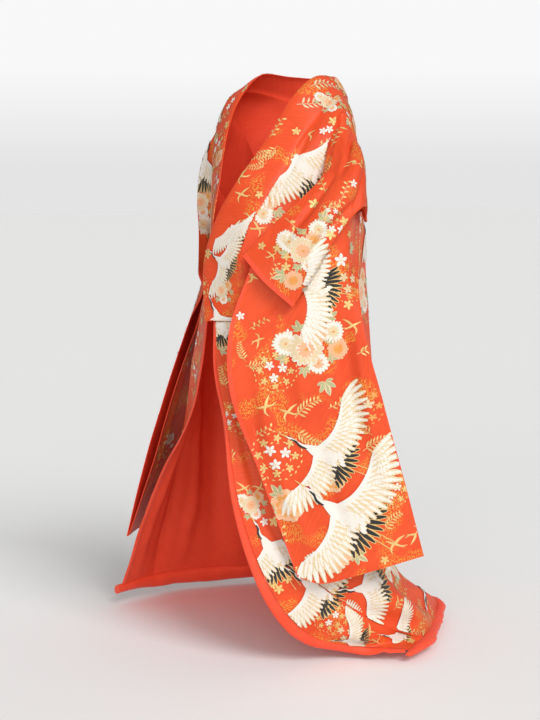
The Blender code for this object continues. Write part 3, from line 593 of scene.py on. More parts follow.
def silkCloth(name, light, dark, roughness, sheen, relief, lines, gilt):
    made, tree, shader = newMaterial(name, {"Roughness": roughness, "Sheen Weight": sheen,
                                            "Sheen Roughness": pattern["sheenRoughness"],
                                            "Specular IOR Level": pattern["specular"]})
    uv = addNode(tree, "UVMap", {"uv_map": "cloth"})
    place = addNode(tree, "TexCoord", {})
    # The blotches set both the mix of dark and light tones and the height of the soft bump below, so the dark
    # tone falls in the bump's hollows.
    blotch = addNode(tree, "TexNoise", {"Vector": (place, "Object"), "Scale": pattern["blotch"],
                                        "Detail": 3.0, "Roughness": 0.55})
    long, wide = pattern["slub"]
    slubs = addNode(tree, "Mapping", {"Vector": (uv, "UV"), "Scale": (1 / long, 1 / wide, 1)})
    streak = addNode(tree, "TexNoise", {"Vector": (slubs, "Vector"), "Scale": 1.0, "Detail": 2.0})
    both = addNode(tree, "Math", {"operation": "ADD", 0: (blotch, "Fac"), 1: (streak, "Fac")})
    ramp = addNode(tree, "MapRange", {"Value": (both, "Value"), **between(pattern["shade"])})
    colour = addNode(tree, "Mix", {"data_type": "RGBA", 0: (ramp, "Result"),
                                   6: hexColour(dark), 7: hexColour(light)})
    if gilt:
        # gold wefts that surface as drifts of small flecks
        drift = addNode(tree, "TexNoise", {"Vector": (place, "Object"), "Scale": pattern["drift"],
                                           "Detail": 1.0})
        drifts = addNode(tree, "MapRange", {"Value": (drift, "Fac"), **between(pattern["driftEdge"])})
        squash = addNode(tree, "Mapping", {"Vector": (uv, "UV"), "Scale": pattern["flecks"],
                                           "Rotation": (0, 0, pattern["fleckTurn"])})
        dots = addNode(tree, "TexVoronoi", {"voronoi_dimensions": "2D", "Vector": (squash, "Vector"),
                                            "Scale": 1.0})
        flecks = addNode(tree, "MapRange", {"Value": (dots, "Distance"), **between(pattern["fleckEdge"])})
        mask = addNode(tree, "Math", {"operation": "MULTIPLY", 0: (drifts, "Result"), 1: (flecks, "Result")})
        colour = addNode(tree, "Mix", {"data_type": "RGBA", 0: (mask, "Value"), 6: (colour, 2),
                                       7: hexColour(gilt)})
        shine = addNode(tree, "Math", {"operation": "MULTIPLY", 0: (mask, "Value"), 1: pattern["giltMetal"]})
        tree.links.new(shine.outputs["Value"], shader.inputs["Metallic"])
    tree.links.new(colour.outputs[2], shader.inputs["Base Color"])
    weave = addNode(tree, "TexWave", {"wave_type": "BANDS", "bands_direction": "DIAGONAL",
                                      "Vector": (uv, "UV"), "Scale": lines, "Distortion": 0.6, "Detail": 1.0})
    fine = addNode(tree, "Bump", {"Height": (weave, "Fac"), "Strength": relief,
                                  "Distance": pattern["weaveDepth"]})
    soft = addNode(tree, "Bump", {"Height": (blotch, "Fac"), "Normal": (fine, "Normal"),
                                  "Strength": pattern["softness"], "Distance": pattern["softDepth"]})
    tree.links.new(soft.outputs["Normal"], shader.inputs["Normal"])
    return made


brocade, plainSilk, paddedSilk = (silkCloth(**one) for one in silks.values())
print("cloth materials made")

# The body's nets, left and right, and the collar's between them
sides = {}
for name, lower, upper, turn in (("left", lowerLeft, upperLeft, 1), ("right", lowerRight, upperRight, -1)):
    panel, overlap, seam, free, first = bodyNets(lower, upper)
    sides[name] = {"panel": panel, "overlap": overlap, "seam": seam, "free": free,
                   "panelWay": normalsOf(panel) * turn, "overlapWay": normalsOf(overlap) * turn}
left, right = sides["left"], sides["right"]
seam, free = (np.concatenate((right[key][::-1], left[key][1:])) for key in ("seam", "free"))
shares = np.linspace(0, 1, robe["collarColumns"] + 1)
collar = np.stack([free + (seam - free) * t for t in shares], axis=1)
collarWay = normalsOf(collar)
middleRow = len(right["seam"]) - 1

# Neighbours share their normals along each seam
hemRows = left["overlap"].shape[0]
fine = robe["upperSteps"]
sideRows = first + fine + 1                              # hem up to the top of the side seam
neckStart = first + robe["neckStation"] * fine
centre = unit(left["panelWay"][:, 0] + right["panelWay"][:, 0])
for side, part in ((left, slice(middleRow, None)), (right, slice(middleRow, None, -1))):
    way = side["panelWay"]
    way[:neckStart + 1, 0] = centre[:neckStart + 1]
    way[-hemRows:, 0] = side["overlapWay"][:, -1] = unit(way[-hemRows:, 0] + side["overlapWay"][:, -1])
    shared = unit(way[:sideRows, -1] + way[-sideRows:, -1][::-1])
    way[:sideRows, -1] = shared
    way[-sideRows:, -1] = shared[::-1]
    span = slice(neckStart, neckStart + len(side["seam"]))
    collarWay[part, -1] = way[span, 0] = unit(collarWay[part, -1] + way[span, 0])
    side["overlapWay"][0, -1] = way[span, 0][-1]


def freeColumns(columns):
    # 1 where the cloth may fold, falling to 0 at its last column
    return np.clip((columns - 1 - np.arange(columns)) / robe["stillColumns"], 0, 1)[None, :]


def shifted(net, ways, shift):
    return net + ways * shift[..., None]


# Folds move the cloth along its normals; neighbours share them because they are set in the robe's space
robeGround = groundOf([side[key] for side in (left, right) for key in ("panel", "overlap")] + [collar])
for side in (left, right):
    for key in ("panel", "overlap"):
        side[key + "Shift"] = creaseShift(side[key], "body", robe["bodyWrinkle"], robeGround)
    rows, columns = side["panelShift"].shape
    apart = np.maximum(sideRows - np.arange(rows), np.arange(rows) - (rows - 1 - sideRows))
    nearArmhole = 1 - np.clip(apart / robe["stillRows"], 0, 1)
    side["panelShift"] *= 1 - nearArmhole[:, None] * (1 - freeColumns(columns))
collarShift = creaseShift(collar, "body", robe["bodyWrinkle"], robeGround)
collarShift = collarShift + robe["collarCrown"] * (1 - (2 * shares - 1) ** 6)[None, :]

patterned = [brocade, plainSilk, brocade]
collarNet = shifted(collar, collarWay, collarShift)
clothWall("collar", collarNet, collarWay, 0, robe["cloth"], patterned)
print("collar made")
gap = robe["seamGap"] / 2
for name, side in sides.items():
    body, overlap = (shifted(side[key], side[key + "Way"], side[key + "Shift"])
                     for key in ("panel", "overlap"))
    insetColumn(body, 0, 1, gap)
    ends = body.copy()
    insetColumn(ends, -1, -2, robe["armholeGap"])
    insetColumn(body, -1, -2, gap)
    armhole = slice(sideRows, len(body) - sideRows)
    body[armhole, -1] = ends[armhole, -1]
    insetColumn(overlap, -1, -2, gap)
    for sheet, lining, net, way in (("body", "lining", body, side["panelWay"]),
                                    ("overlap", "overlap_lining", overlap, side["overlapWay"])):
        clothWall(f"{sheet}_{name}", net, way, gap, robe["cloth"], patterned)
        clothWall(f"{lining}_{name}", net, way, -robe["lining"], -gap, [plainSilk] * 3)
    side["overlapNet"] = overlap
print("body, overlaps and linings made")

# Sleeves, sewn to the body's outer edge round the shoulder
for name, side, outer, inner, pleated, world, turn in (
        ("left", left, leftOuter, leftInner, True, toWorld, 1),
        ("right", right, rightOuter, rightInner, False, np.array, -1)):
    edge = side["panel"][:, -1]
    top = first + robe["shoulderStation"] * fine
    back = edge[top:top - robe["sewnBack"] * fine - 1:-1]
    front = edge[top:top + robe["sewnFront"] * fine + 1]
    sheet = sleeveSheet(outer, inner, back, front, pleated, world)
    ways = normalsOf(sheet) * turn
    shift = creaseShift(sheet, "sleeve" + name.capitalize(), robe["sleeveWrinkle"], groundOf([sheet]))
    net = shifted(sheet, ways, shift * freeColumns(sheet.shape[1]))
    insetColumn(net, -1, -2, robe["armholeGap"])
    clothWall(f"sleeve_{name}", net, ways, -robe["cloth"] / 2, robe["cloth"] / 2,
              [brocade, plainSilk, plainSilk], edgeColumns=1)
print("sleeves made")

# Padded rolls. Each taper gives stations and the share of the full width there.
rollTaper = {
    "left": ((0, 2.2, 4.2, 5.5, 8), (0.22, 0.35, 0.8, 1, 0.5)),
    "right": ((0, 8), (0.5, 0.5)),
    "hem": (0.35, 0.5, 0.9, 1, 1, 0.6),
}
for name, side in sides.items():
    net, way = side["overlapNet"], side["overlapWay"]
    along = unit(np.gradient(net[:, 0], axis=0))
    away = net[:, 0] - net[:, 1]
    away = unit(away - along * (away * along).sum(axis=1, keepdims=True))
    thin = np.interp(np.arange(len(net)) / robe["lowerSteps"], *rollTaper[name])
    width, depth = robe["edgeRollWidth"] * thin, robe["edgeRollDepth"] * thin
    path = net[:, 0] + away * (width[:, None] / 2 + robe["seamGap"])
    path[0] += unit(path[1] - path[0]) * robe["edgeRollStart"]
    piece = roll(f"edge_roll_{name}", path[:-1], away, way[:, 0], width, depth, robe["edgeRidge"])
line = [hemLine(s, shifted(s["panel"], s["panelWay"], s["panelShift"])) for s in (left, right)]
path, away, up = (np.concatenate((a, b[-2::-1])) for a, b in zip(*line))
share = np.interp(np.arange(len(path)), (0, 1, 10, 18, len(path) - 24, len(path) - 1), rollTaper["hem"])
path = path + away * (robe["hemRollWidth"] * share[:, None] / 2 + robe["seamGap"])
for _ in range(robe["hemSmoothing"]):
    path[1:-1] = (path[:-2] + 2 * path[1:-1] + path[2:]) / 4
steps = [robe["hemSteps"]] * (len(path) - 1)
path, away, up = spline(path, steps), unit(spline(away, steps)), unit(spline(up, steps))
share = np.interp(np.arange(len(path)) / robe["hemSteps"], np.arange(len(share)), share)
width, depth = robe["hemRollWidth"] * share, robe["hemRollDepth"] * share
piece = roll("hem_roll", path, away, up, width, depth, robe["hemRidge"])
print("rolls made")

# Embroidery. A motif is a flat drawing made of blades; each blade is (thread, layer, points, widths),
# in units of the motif's size. It's then laid on the cloth round a point.
# Threads, by colour and how metallic they are: filament silk in satin stitch, with a soft shine across
# the stitches, and foil wound on silk for the gold, which glints.
threads = {
    "white": ("F1E9DE", 0.0), "cream": ("E6CDA2", 0.0), "black": ("14100E", 0.0), "gold": ("EFC67C", 0.3),
    "red": ("B3180F", 0.0), "peach": ("F2B286", 0.0), "orange": ("EE9F4C", 0.1), "green": ("B7B584", 0.1),
}
threadOrder = list(threads)
stitch = {
    "silk": {"Metallic": 0.0, "Roughness": 0.5, "Sheen Weight": 0.2},
    "foil": {"Roughness": 0.38, "Sheen Weight": 0.0},
    "rows": 210.0,                        # satin rows 1.5 mm apart, coarser than real ones so that they show
    # rowShade: painted shade, how dark each thread's colour gets in the grooves between satin rows
    "rowShade": 0.72, "rowRelief": 0.5, "rowDepth": 0.0005,
    "cell": 0.0068, "spanSteps": 5, "lookAhead": 0.06,
    "lift": 0.0009, "layerStep": 0.00013, "birdLayer": 5,   # birds lie over any flower
    "crown": 0.00035, "wide": 0.006,      # a blade at least this wide is padded up to the full crown
    "reach": 0.055, "cast": 2.2, "facing": 0.2,             # how deep and steep a fold a motif follows
}


def threadSilk(name, code, metal):
    made, tree, shader = newMaterial("gold foil thread" if name == "gold" else f"{name} silk thread",
                                     {**stitch["foil"], "Metallic": metal} if metal else stitch["silk"])
    uv = addNode(tree, "UVMap", {"uv_map": "cloth"})
    rows = addNode(tree, "TexWave", {"bands_direction": "Y", "Vector": (uv, "UV"), "Scale": stitch["rows"],
                                     "Distortion": 1.2, "Detail": 1.0})
    full = hexColour(code)
    # painted shade: the colour darkens to rowShade of itself in the grooves between rows, where the rows'
    # bump sinks
    shade = tuple(c * stitch["rowShade"] for c in full[:3]) + (1,)
    colour = addNode(tree, "Mix", {"data_type": "RGBA", 0: (rows, "Fac"), 6: shade, 7: full})
    tree.links.new(colour.outputs[2], shader.inputs["Base Color"])
    relief = addNode(tree, "Bump", {"Height": (rows, "Fac"), "Strength": stitch["rowRelief"],
                                    "Distance": stitch["rowDepth"]})
    tree.links.new(relief.outputs["Normal"], shader.inputs["Normal"])
    return made


threadSilks = [threadSilk(name, *threads[name]) for name in threadOrder]


def turned(points, angle, centre=(0, 0), size=1.0):
    c, s = math.cos(math.radians(angle)) * size, math.sin(math.radians(angle)) * size
    return [(centre[0] + x * c - y * s, centre[1] + x * s + y * c) for x, y in points]


def outward(radius, angle):
    return turned([(radius, 0)], angle)[0]


def placed(motif, angle, centre, size, lift=0):
    return [(thread, layer + lift, turned(points, angle, centre, size), [w * size for w in widths])
            for thread, layer, points, widths in motif]


def mirrored(motif):
    return [(thread, layer, [(x, -y) for x, y in points], widths) for thread, layer, points, widths in motif]


def feather(thread, layer, root, angle, length, width, bend=0.0, rim="cream", rimWidth=1.22):
    # one blade over a wider and slightly longer one, which shows as its rim
    shape = [0.6, 0.95, 1.0, 0.92, 0.35]
    line, longer = (turned([(0, 0), (0.5 * length, bend * length), (length * more, bend * length * 0.4)],
                           angle, root) for more in (1, 1.03))
    return [(thread, layer + 1, line, [width * w for w in shape]),
            (rim, layer, longer, [width * rimWidth * w for w in shape[:-1]] + [width * 0.55])]


# A wing's feathers: how many, layer, where the row starts and how far it runs along the wing's bone,
# first angle, fan and its power, length and its growth, width, bend and rim
wingRows = (
    (16, 0.0, 0.05, 0.92, 108, 108, 1.2, 0.42, 0.20, 0.090, -0.04, 1.30),
    (14, 2.3, 0.03, 0.85, 106, 102, 1.1, 0.25, 0.08, 0.076, -0.03, 1.35),
    (12, 4.6, 0.02, 0.80, 104, 96, 1.0, 0.14, 0.00, 0.074, 0.0, 1.35),
)


def wing(length, spread):
    bone = spline([(0, 0), (0.3 * length, 0.1 * length), (0.62 * length, 0.08 * length),
                   (length, -0.06 * length)], [10, 10, 10])

    def at(q, back=0.0):
        x, y = (np.interp(q * 30, range(31), bone[:, i]) for i in (0, 1))
        return x, y + back * length
    blades = [("cream", 0, [at(0, 0.14), at(0.35, 0.16), at(0.7, 0.13), at(0.95, 0.04)],
               [0.3 * length, 0.3 * length, 0.26 * length, 0.1 * length])]
    for count, layer, start, run, angle, fan, power, reach, grow, wide, bend, rim in wingRows:
        for k in range(count):
            q = k / (count - 1)
            short, narrow = (0.16 * q ** 6, 0.02 * q) if layer == 0 else (0, 0)   # the outer tip closes
            blades += feather("white", layer + 1.1 * (k % 2), at(start + run * q),
                              angle - (fan - spread) * q ** power, (reach + grow * q - short) * length,
                              (wide - narrow) * length, bend, rimWidth=rim)
    blades.append(("white", 7.2, [at(0), at(0.35), at(0.7), at(0.97)],
                   [0.1 * length, 0.09 * length, 0.06 * length, 0.02 * length]))
    return blades


def crane(upper, lower, neck, reach=1.0):
    # flying to the right: trailing legs, black quills, the two wings, body, neck and head
    blades = []
    for dy in (-0.05, 0.03):
        blades.append(("gold", 0, [(-0.5, dy), (-1.0, dy * 2 - 0.02), (-1.45, dy * 2.4 - 0.03)],
                       [0.03, 0.02, 0.02]))
    for k in range(11):
        blades += feather("black", 1.2 * (k % 2), (-0.36 - 0.002 * (k - 5) ** 2, 0.30 - 0.06 * k),
                          132 + 9.6 * k, 0.56 + 0.1 * math.sin(k * 0.31), 0.10, 0.04, "gold", 1.34)
    blades += placed(mirrored(wing(1.4, 14)), lower, (0.16, -0.04), 1.0, 2.2)
    blades += placed(wing(1.55, 10), upper, (0.14, 0.10), 1.0, 3)
    blades += [("cream", 2, [(-0.62, 0.0), (-0.25, 0.02), (0.25, 0.03), (0.5, 0.07)], [0.3, 0.5, 0.36, 0.10]),
               ("white", 9, [(-0.45, 0.0), (-0.2, 0.02), (0.25, 0.03), (0.5, 0.07)], [0.2, 0.40, 0.32, 0.10])]
    for k in range(14):
        blades += feather("white", 10 + 0.8 * (k % 2), (0.16 - 0.055 * k, 0.14 - 0.07 * (k % 5)),
                          172 + 4 * (k % 5), 0.17, 0.085)
    x, y = 0.95 * reach, neck
    blades += [
        ("white", 10, [(0.36, 0.06), (0.6, 0.02 + neck * 0.2), (0.8 * reach, neck * 0.75), (x, y)],
         [0.17, 0.10, 0.07, 0.06]),
        ("black", 11.5, [(0.45, 0.01), (0.62, -0.01 + neck * 0.2), (0.8 * reach, neck * 0.72),
                         (x, y - 0.012)], [0.03, 0.08, 0.06, 0.04]),
        ("white", 11.8, [(x - 0.03, y), (x + 0.06, y + 0.015), (x + 0.14, y + 0.01)], [0.05, 0.09, 0.03]),
        ("red", 12.6, [(x, y + 0.035), (x + 0.06, y + 0.045), (x + 0.12, y + 0.03)], [0.03, 0.06, 0.02]),
        ("gold", 12.6, [(x + 0.12, y + 0.012), (x + 0.26, y + 0.02), (x + 0.4, y + 0.03)],
         [0.04, 0.028, 0.012]),
    ]
    return blades


def daisy(outer, inner, rim, petals=18):
    blades = []
    for k in range(petals):
        angle = 360 / petals * k
        blades += feather(outer, k % 2, outward(0.22, angle), angle, 0.74 + 0.05 * (k % 3), 5.4 / petals,
                          0.02, rim, 1.3)
    for k in range(petals * 2 // 3):
        angle = 540 / petals * k + 7
        blades += feather(inner, 3, outward(0.1, angle), angle, 0.46, 4.4 / petals, 0.0, rim, 1.3)
    blades.append(("orange", 5, [(-0.15, 0), (0, 0), (0.15, 0)], [0.1, 0.3, 0.1]))
    return blades


def leafPair(length):
    # a hand-shaped leaf: five lobes, each rimmed and with a gold vein
    blades = []
    for angle in (0, 42, -42, 84, -84):
        size = length * (1 if angle == 0 else 0.8 if abs(angle) < 50 else 0.55)
        line = turned([(0.05 * length, 0), (0.55 * size, 0.02), (size, 0)], angle)
        blades += [("cream", 0, line, [0.04, 0.38 * size, 0.42 * size, 0.06]),
                   ("green", 1, line, [0.01, 0.28 * size, 0.31 * size, 0.02]),
                   ("gold", 2, line, [0.03, 0.03, 0.02])]
    return blades


def half(flower, low, high):
    # the blades that end between two angles, and those near the middle
    return [blade for blade in flower
            if low <= math.degrees(math.atan2(blade[2][-1][1], blade[2][-1][0])) % 360 <= high
            or math.hypot(*blade[2][-1]) < 0.3]


def peony():
    blades = []
    rings = ((11, 1.0, 0.62, "peach"), (9, 0.76, 0.52, "orange"),
             (7, 0.52, 0.42, "peach"), (5, 0.32, 0.3, "cream"))
    for ring, (count, reach, width, thread) in enumerate(rings):
        for k in range(count):
            angle = 360 / count * k + 17 * ring
            line = [outward(reach * 0.35, angle), outward(reach * (0.94 + 0.08 * (k % 2)), angle)]
            blades += [("cream", 2 * ring, line, [0.3 * width, width, width * 1.02, 0.5 * width]),
                       (thread, 2 * ring + 1, line, [0.2 * width, 0.86 * width, 0.86 * width, 0.3 * width])]
    return blades


def fern(thread, pairs=7, bow=0.16):
    stem = spline([(0, 0), (0.5, bow), (1.0, bow * 0.6)], [10, 10])
    blades = [(thread, 0, [tuple(stem[i]) for i in (0, 10, 20)], [0.02, 0.016, 0.01])]
    for k in range(pairs):
        root = tuple(np.array([np.interp(3 + 17 * k / pairs, range(21), stem[:, i]) for i in (0, 1)]))
        length = 0.25 * (1 - 0.6 * (k / pairs) ** 1.5)
        for angle in (58, -52):
            blades.append((thread, 1, turned([(0.015, 0), (length * 0.5, 0.01), (length, 0)], angle, root),
                           [0.012, 0.066, 0.058, 0.012]))
    return blades


def blossom(thread, petals=5):
    petal, widths = [(0.12, 0), (0.6, 0), (1.0, 0)], [0.2, 0.6, 0.62, 0.25]
    blades = [(thread, 1, turned(petal, 360 / petals * k + 18), widths) for k in range(petals)]
    return blades + [("gold", 2, [(-0.16, 0), (0.16, 0)], [0.2, 0.3, 0.2])]


def sprig(thread, centre, angle, widths):
    return (thread, 0, turned([(-0.06, 0), (0.0, 0.0), (0.07, 0)], angle, centre), widths)


def roundel(first, second, third="gold"):
    # three blossoms inside eight smaller ones, with two rings of sprigs
    blades = []
    for k in range(3):
        blades += placed(blossom(second), 40 * k, outward(0.34, 120 * k + 20), 0.22, 1)
    for k in range(8):
        blades += placed(blossom(first if k % 2 else third), 25 * k, outward(0.7, 45 * k), 0.16, 1)
    for k in range(26):
        angle = 360 / 26 * k
        blades.append(sprig(third if k % 3 else first, outward(0.93 + 0.04 * (k % 2), angle),
                            angle + 60 + 25 * (k % 3), [0.02, 0.07, 0.06, 0.01]))
    for k in range(14):
        angle = 360 / 14 * k + 9
        blades.append(sprig(third, outward(0.5 + 0.05 * (k % 3), angle), angle + 100,
                            [0.02, 0.06, 0.05, 0.01]))
    return blades


def plover(thread):
    return [(thread, 1, [(-0.9, -0.1), (-0.2, 0), (0.5, 0.1), (0.8, 0.16)], [0.03, 0.2, 0.22, 0.05]),
            (thread, 0, [(0.0, 0.05), (-0.25, 0.5), (-0.7, 0.95)], [0.22, 0.22, 0.02]),
            (thread, 0, [(0.1, 0.0), (0.25, -0.45), (0.0, -0.9)], [0.2, 0.18, 0.02]),
            (thread, 0, [(-0.5, -0.05), (-1.1, 0.15)], [0.08, 0.1, 0.02])]


def spray(thread, count=7):
    # a stem with alternate leaves
    blades = [(thread, 0, [(-0.8, -0.5), (0, 0.05), (0.7, 0.6)], [0.05, 0.04, 0.03])]
    for k in range(count):
        q = k / (count - 1)
        blades.append((thread, 1, turned([(0.04, 0), (0.2, 0), (0.38, 0)], 38 + (60 if k % 2 else -60),
                                         (-0.62 + 1.25 * q, -0.38 + 0.92 * q)), [0.05, 0.2, 0.17, 0.04]))
    return blades


def cluster():
    blades = []
    for flower, angle, centre, size, lift in (
            (daisy("cream", "peach", "white"), 0, (0, 0), 0.62, 6),
            (daisy("white", "cream", "cream", 20), 20, (-0.55, 0.45), 0.46, 2),
            (daisy("peach", "orange", "cream", 16), 50, (0.6, 0.4), 0.42, 2),
            (daisy("white", "peach", "cream", 16), 10, (0.2, -0.68), 0.4, 0),
            (leafPair(1.0), 160, (-0.75, -0.05), 0.42, 0), (leafPair(1.0), 250, (-0.35, -0.6), 0.42, 0),
            (leafPair(1.0), 20, (0.85, -0.15), 0.4, 0), (leafPair(1.0), 80, (0.1, 0.75), 0.4, 0),
            (leafPair(1.0), 320, (0.65, -0.6), 0.38, 0)):
        blades += placed(flower, angle, centre, size, lift)
    return blades


print("motifs drawn")

# The cloth that each motif is laid on
grounds = {}
for name, (net, ways) in outerFaces.items():
    turn = np.sum(np.cross(net[1:, 1:] - net[:-1, :-1], net[1:, :-1] - net[:-1, 1:]) * ways[:-1, :-1])
    grounds[name] = groundOf([net], flipped=turn < 0)
stitched = {}
taken = {}


def bladeMesh(bm, layers, blade, size):
    thread, layer, points, widths = blade
    line = np.array(points) * size
    if len(line) > 2:
        line = spline(line, [stitch["spanSteps"]] * (len(line) - 1))
    far = lengthAlong(line)
    wide = max(widths) * size
    along = max(2, math.ceil(far[-1] / stitch["cell"]))
    across = 2 * max(1, math.ceil(wide / stitch["cell"] / 2))
    made = bmesh.ops.create_grid(bm, x_segments=across, y_segments=along, size=0.5)["verts"]
    local = np.array([v.co[:2] for v in made])
    s, t = local[:, 0] * 2, local[:, 1] + 0.5

    def lineAt(place):
        return np.stack([np.interp(place, far, line[:, i]) for i in (0, 1)], axis=1)
    place = t * far[-1]
    step = far[-1] * stitch["lookAhead"]
    way = unit(lineAt(place + step) - lineAt(place - step))
    width = np.interp(t, np.linspace(0, 1, len(widths)), widths) * size
    sideways = s * width / 2
    spot = lineAt(place) + np.stack((-way[:, 1], way[:, 0]), axis=1) * sideways[:, None]
    high = layer * stitch["layerStep"] + stitch["crown"] * (1 - s * s) * min(1, wide / stitch["wide"])
    for v, (x, y), h, a, b in zip(made, spot.tolist(), high.tolist(), sideways.tolist(), place.tolist()):
        v.co = (x, y, h)
        v[layers[0]] = a
        v[layers[1]] = b
    index = threadOrder.index(thread)
    for face in {f for v in made for f in v.link_faces}:
        face.material_index = index


def drawn(blades, size):
    bm = bmesh.new()
    layers = (bm.verts.layers.float.new("across"), bm.verts.layers.float.new("along"))
    for blade in blades:
        bladeMesh(bm, layers, blade, size)
    uvMap = bm.loops.layers.uv.new("cloth")
    for face in bm.faces:
        face.smooth = True
        for loop in face.loops:
            loop[uvMap].uv = (loop.vert[layers[0]], loop.vert[layers[1]])
    mesh = bpy.data.meshes.new("motif")
    bm.to_mesh(mesh)
    bm.free()
    points = np.empty(len(mesh.vertices) * 3)
    mesh.vertices.foreach_get("co", points)
    return mesh, points.reshape(-1, 3), size


def embroider(names, motif, point, turn, size, flip=1):
    # the flat drawing is held in front of the cloth and each of its points dropped onto it
    mesh, local, usual = motif
    spot, normal, _, _ = grounds[names[0]].find_nearest(Vector(point))
    up = (Vector((0, 0, 1)) - normal * normal.z).normalized()
    side = up.cross(normal)
    c, s = math.cos(math.radians(turn)), math.sin(math.radians(turn))
    u, v = np.array(side * c + up * s), np.array(up * c - side * s)
    scale = size / usual
    starts = (np.array(spot + normal * stitch["reach"]) + local[:, :1] * scale * u
              + local[:, 1:2] * scale * flip * v).tolist()
    heights = (local[:, 2] + stitch["lift"]).tolist()
    back = -normal
    for name in names:
        bm, missed = stitched.setdefault(name, (bmesh.new(), []))
        known, faces = len(bm.verts), len(bm.faces)
        bm.from_mesh(mesh)
        bm.verts.ensure_lookup_table()
        for vert, start, high in zip(bm.verts[known:], starts, heights):
            hit, way, _, _ = grounds[name].ray_cast(start, back, stitch["reach"] * stitch["cast"])
            if hit is None or way.dot(normal) < stitch["facing"]:
                missed.append(vert)
            else:
                vert.co = hit + way * high
        if flip < 0:
            bm.faces.ensure_lookup_table()
            bmesh.ops.reverse_faces(bm, faces=bm.faces[faces:])
        taken.setdefault(name, []).append((np.array(spot), size))


strew = {"clear": 0.75, "sizes": (0.85, 1.15), "turn": (-40, 40), "rowMargin": 1, "columnMargin": 0.6}


def scatter(name, choices, tries):
    # small motifs at random places that lie clear of all others
    net = outerFaces[name][0]
    rows, columns = net.shape[:2]
    for _ in range(tries):
        r = chance.uniform(strew["rowMargin"], rows - 1 - strew["rowMargin"])
        c = chance.uniform(strew["columnMargin"], columns - 1 - strew["columnMargin"])
        motif, size, turn = chance.choices([one[:3] for one in choices], [one[3] for one in choices])[0]
        size *= chance.uniform(*strew["sizes"])
        i, j = int(r), int(c)
        point = net[i, j] * (1 - c + j) + net[i, j + 1] * (c - j)
        if all(np.linalg.norm(point - other) > (size + reach) * strew["clear"]
               for other, reach in taken.get(name, [])):
            turn += chance.uniform(*strew["turn"])
            embroider([name], motif, point, turn, size, chance.choice((-1, 1)))


def flying(blades, size):
    up = stitch["birdLayer"]
    return drawn([(thread, layer + up, points, widths) for thread, layer, points, widths in blades], size)


chance = random.Random(11)
craneRising = flying(crane(98, -80, 0.12), 0.1)
craneGliding = flying(crane(95, -92, 0.16, 0.95), 0.1)
craneSoaring = flying(crane(110, -70, 0.05, 1.05), 0.1)
craneWing = flying(half(crane(98, -80, 0.12), 100, 260), 0.08)
flowers = drawn(cluster(), 0.055)
peach = drawn(daisy("peach", "orange", "cream"), 0.026)
pale = drawn(daisy("white", "cream", "cream", 20), 0.024)
fullPeony = drawn(peony(), 0.042)
goldFern = drawn(fern("gold"), 0.06)
creamFern = drawn(fern("cream", 6), 0.06)
goldRoundel = drawn(roundel("gold", "white"), 0.05)
orangeRoundel = drawn(roundel("orange", "cream", "orange"), 0.05)
goldBird = drawn(plover("gold"), 0.026)
goldSpray = drawn(spray("gold"), 0.03)
leaves = drawn(leafPair(1.0), 0.034)
whiteBlossom = drawn(blossom("white"), 0.012)
goldBlossom = drawn(blossom("gold"), 0.012)

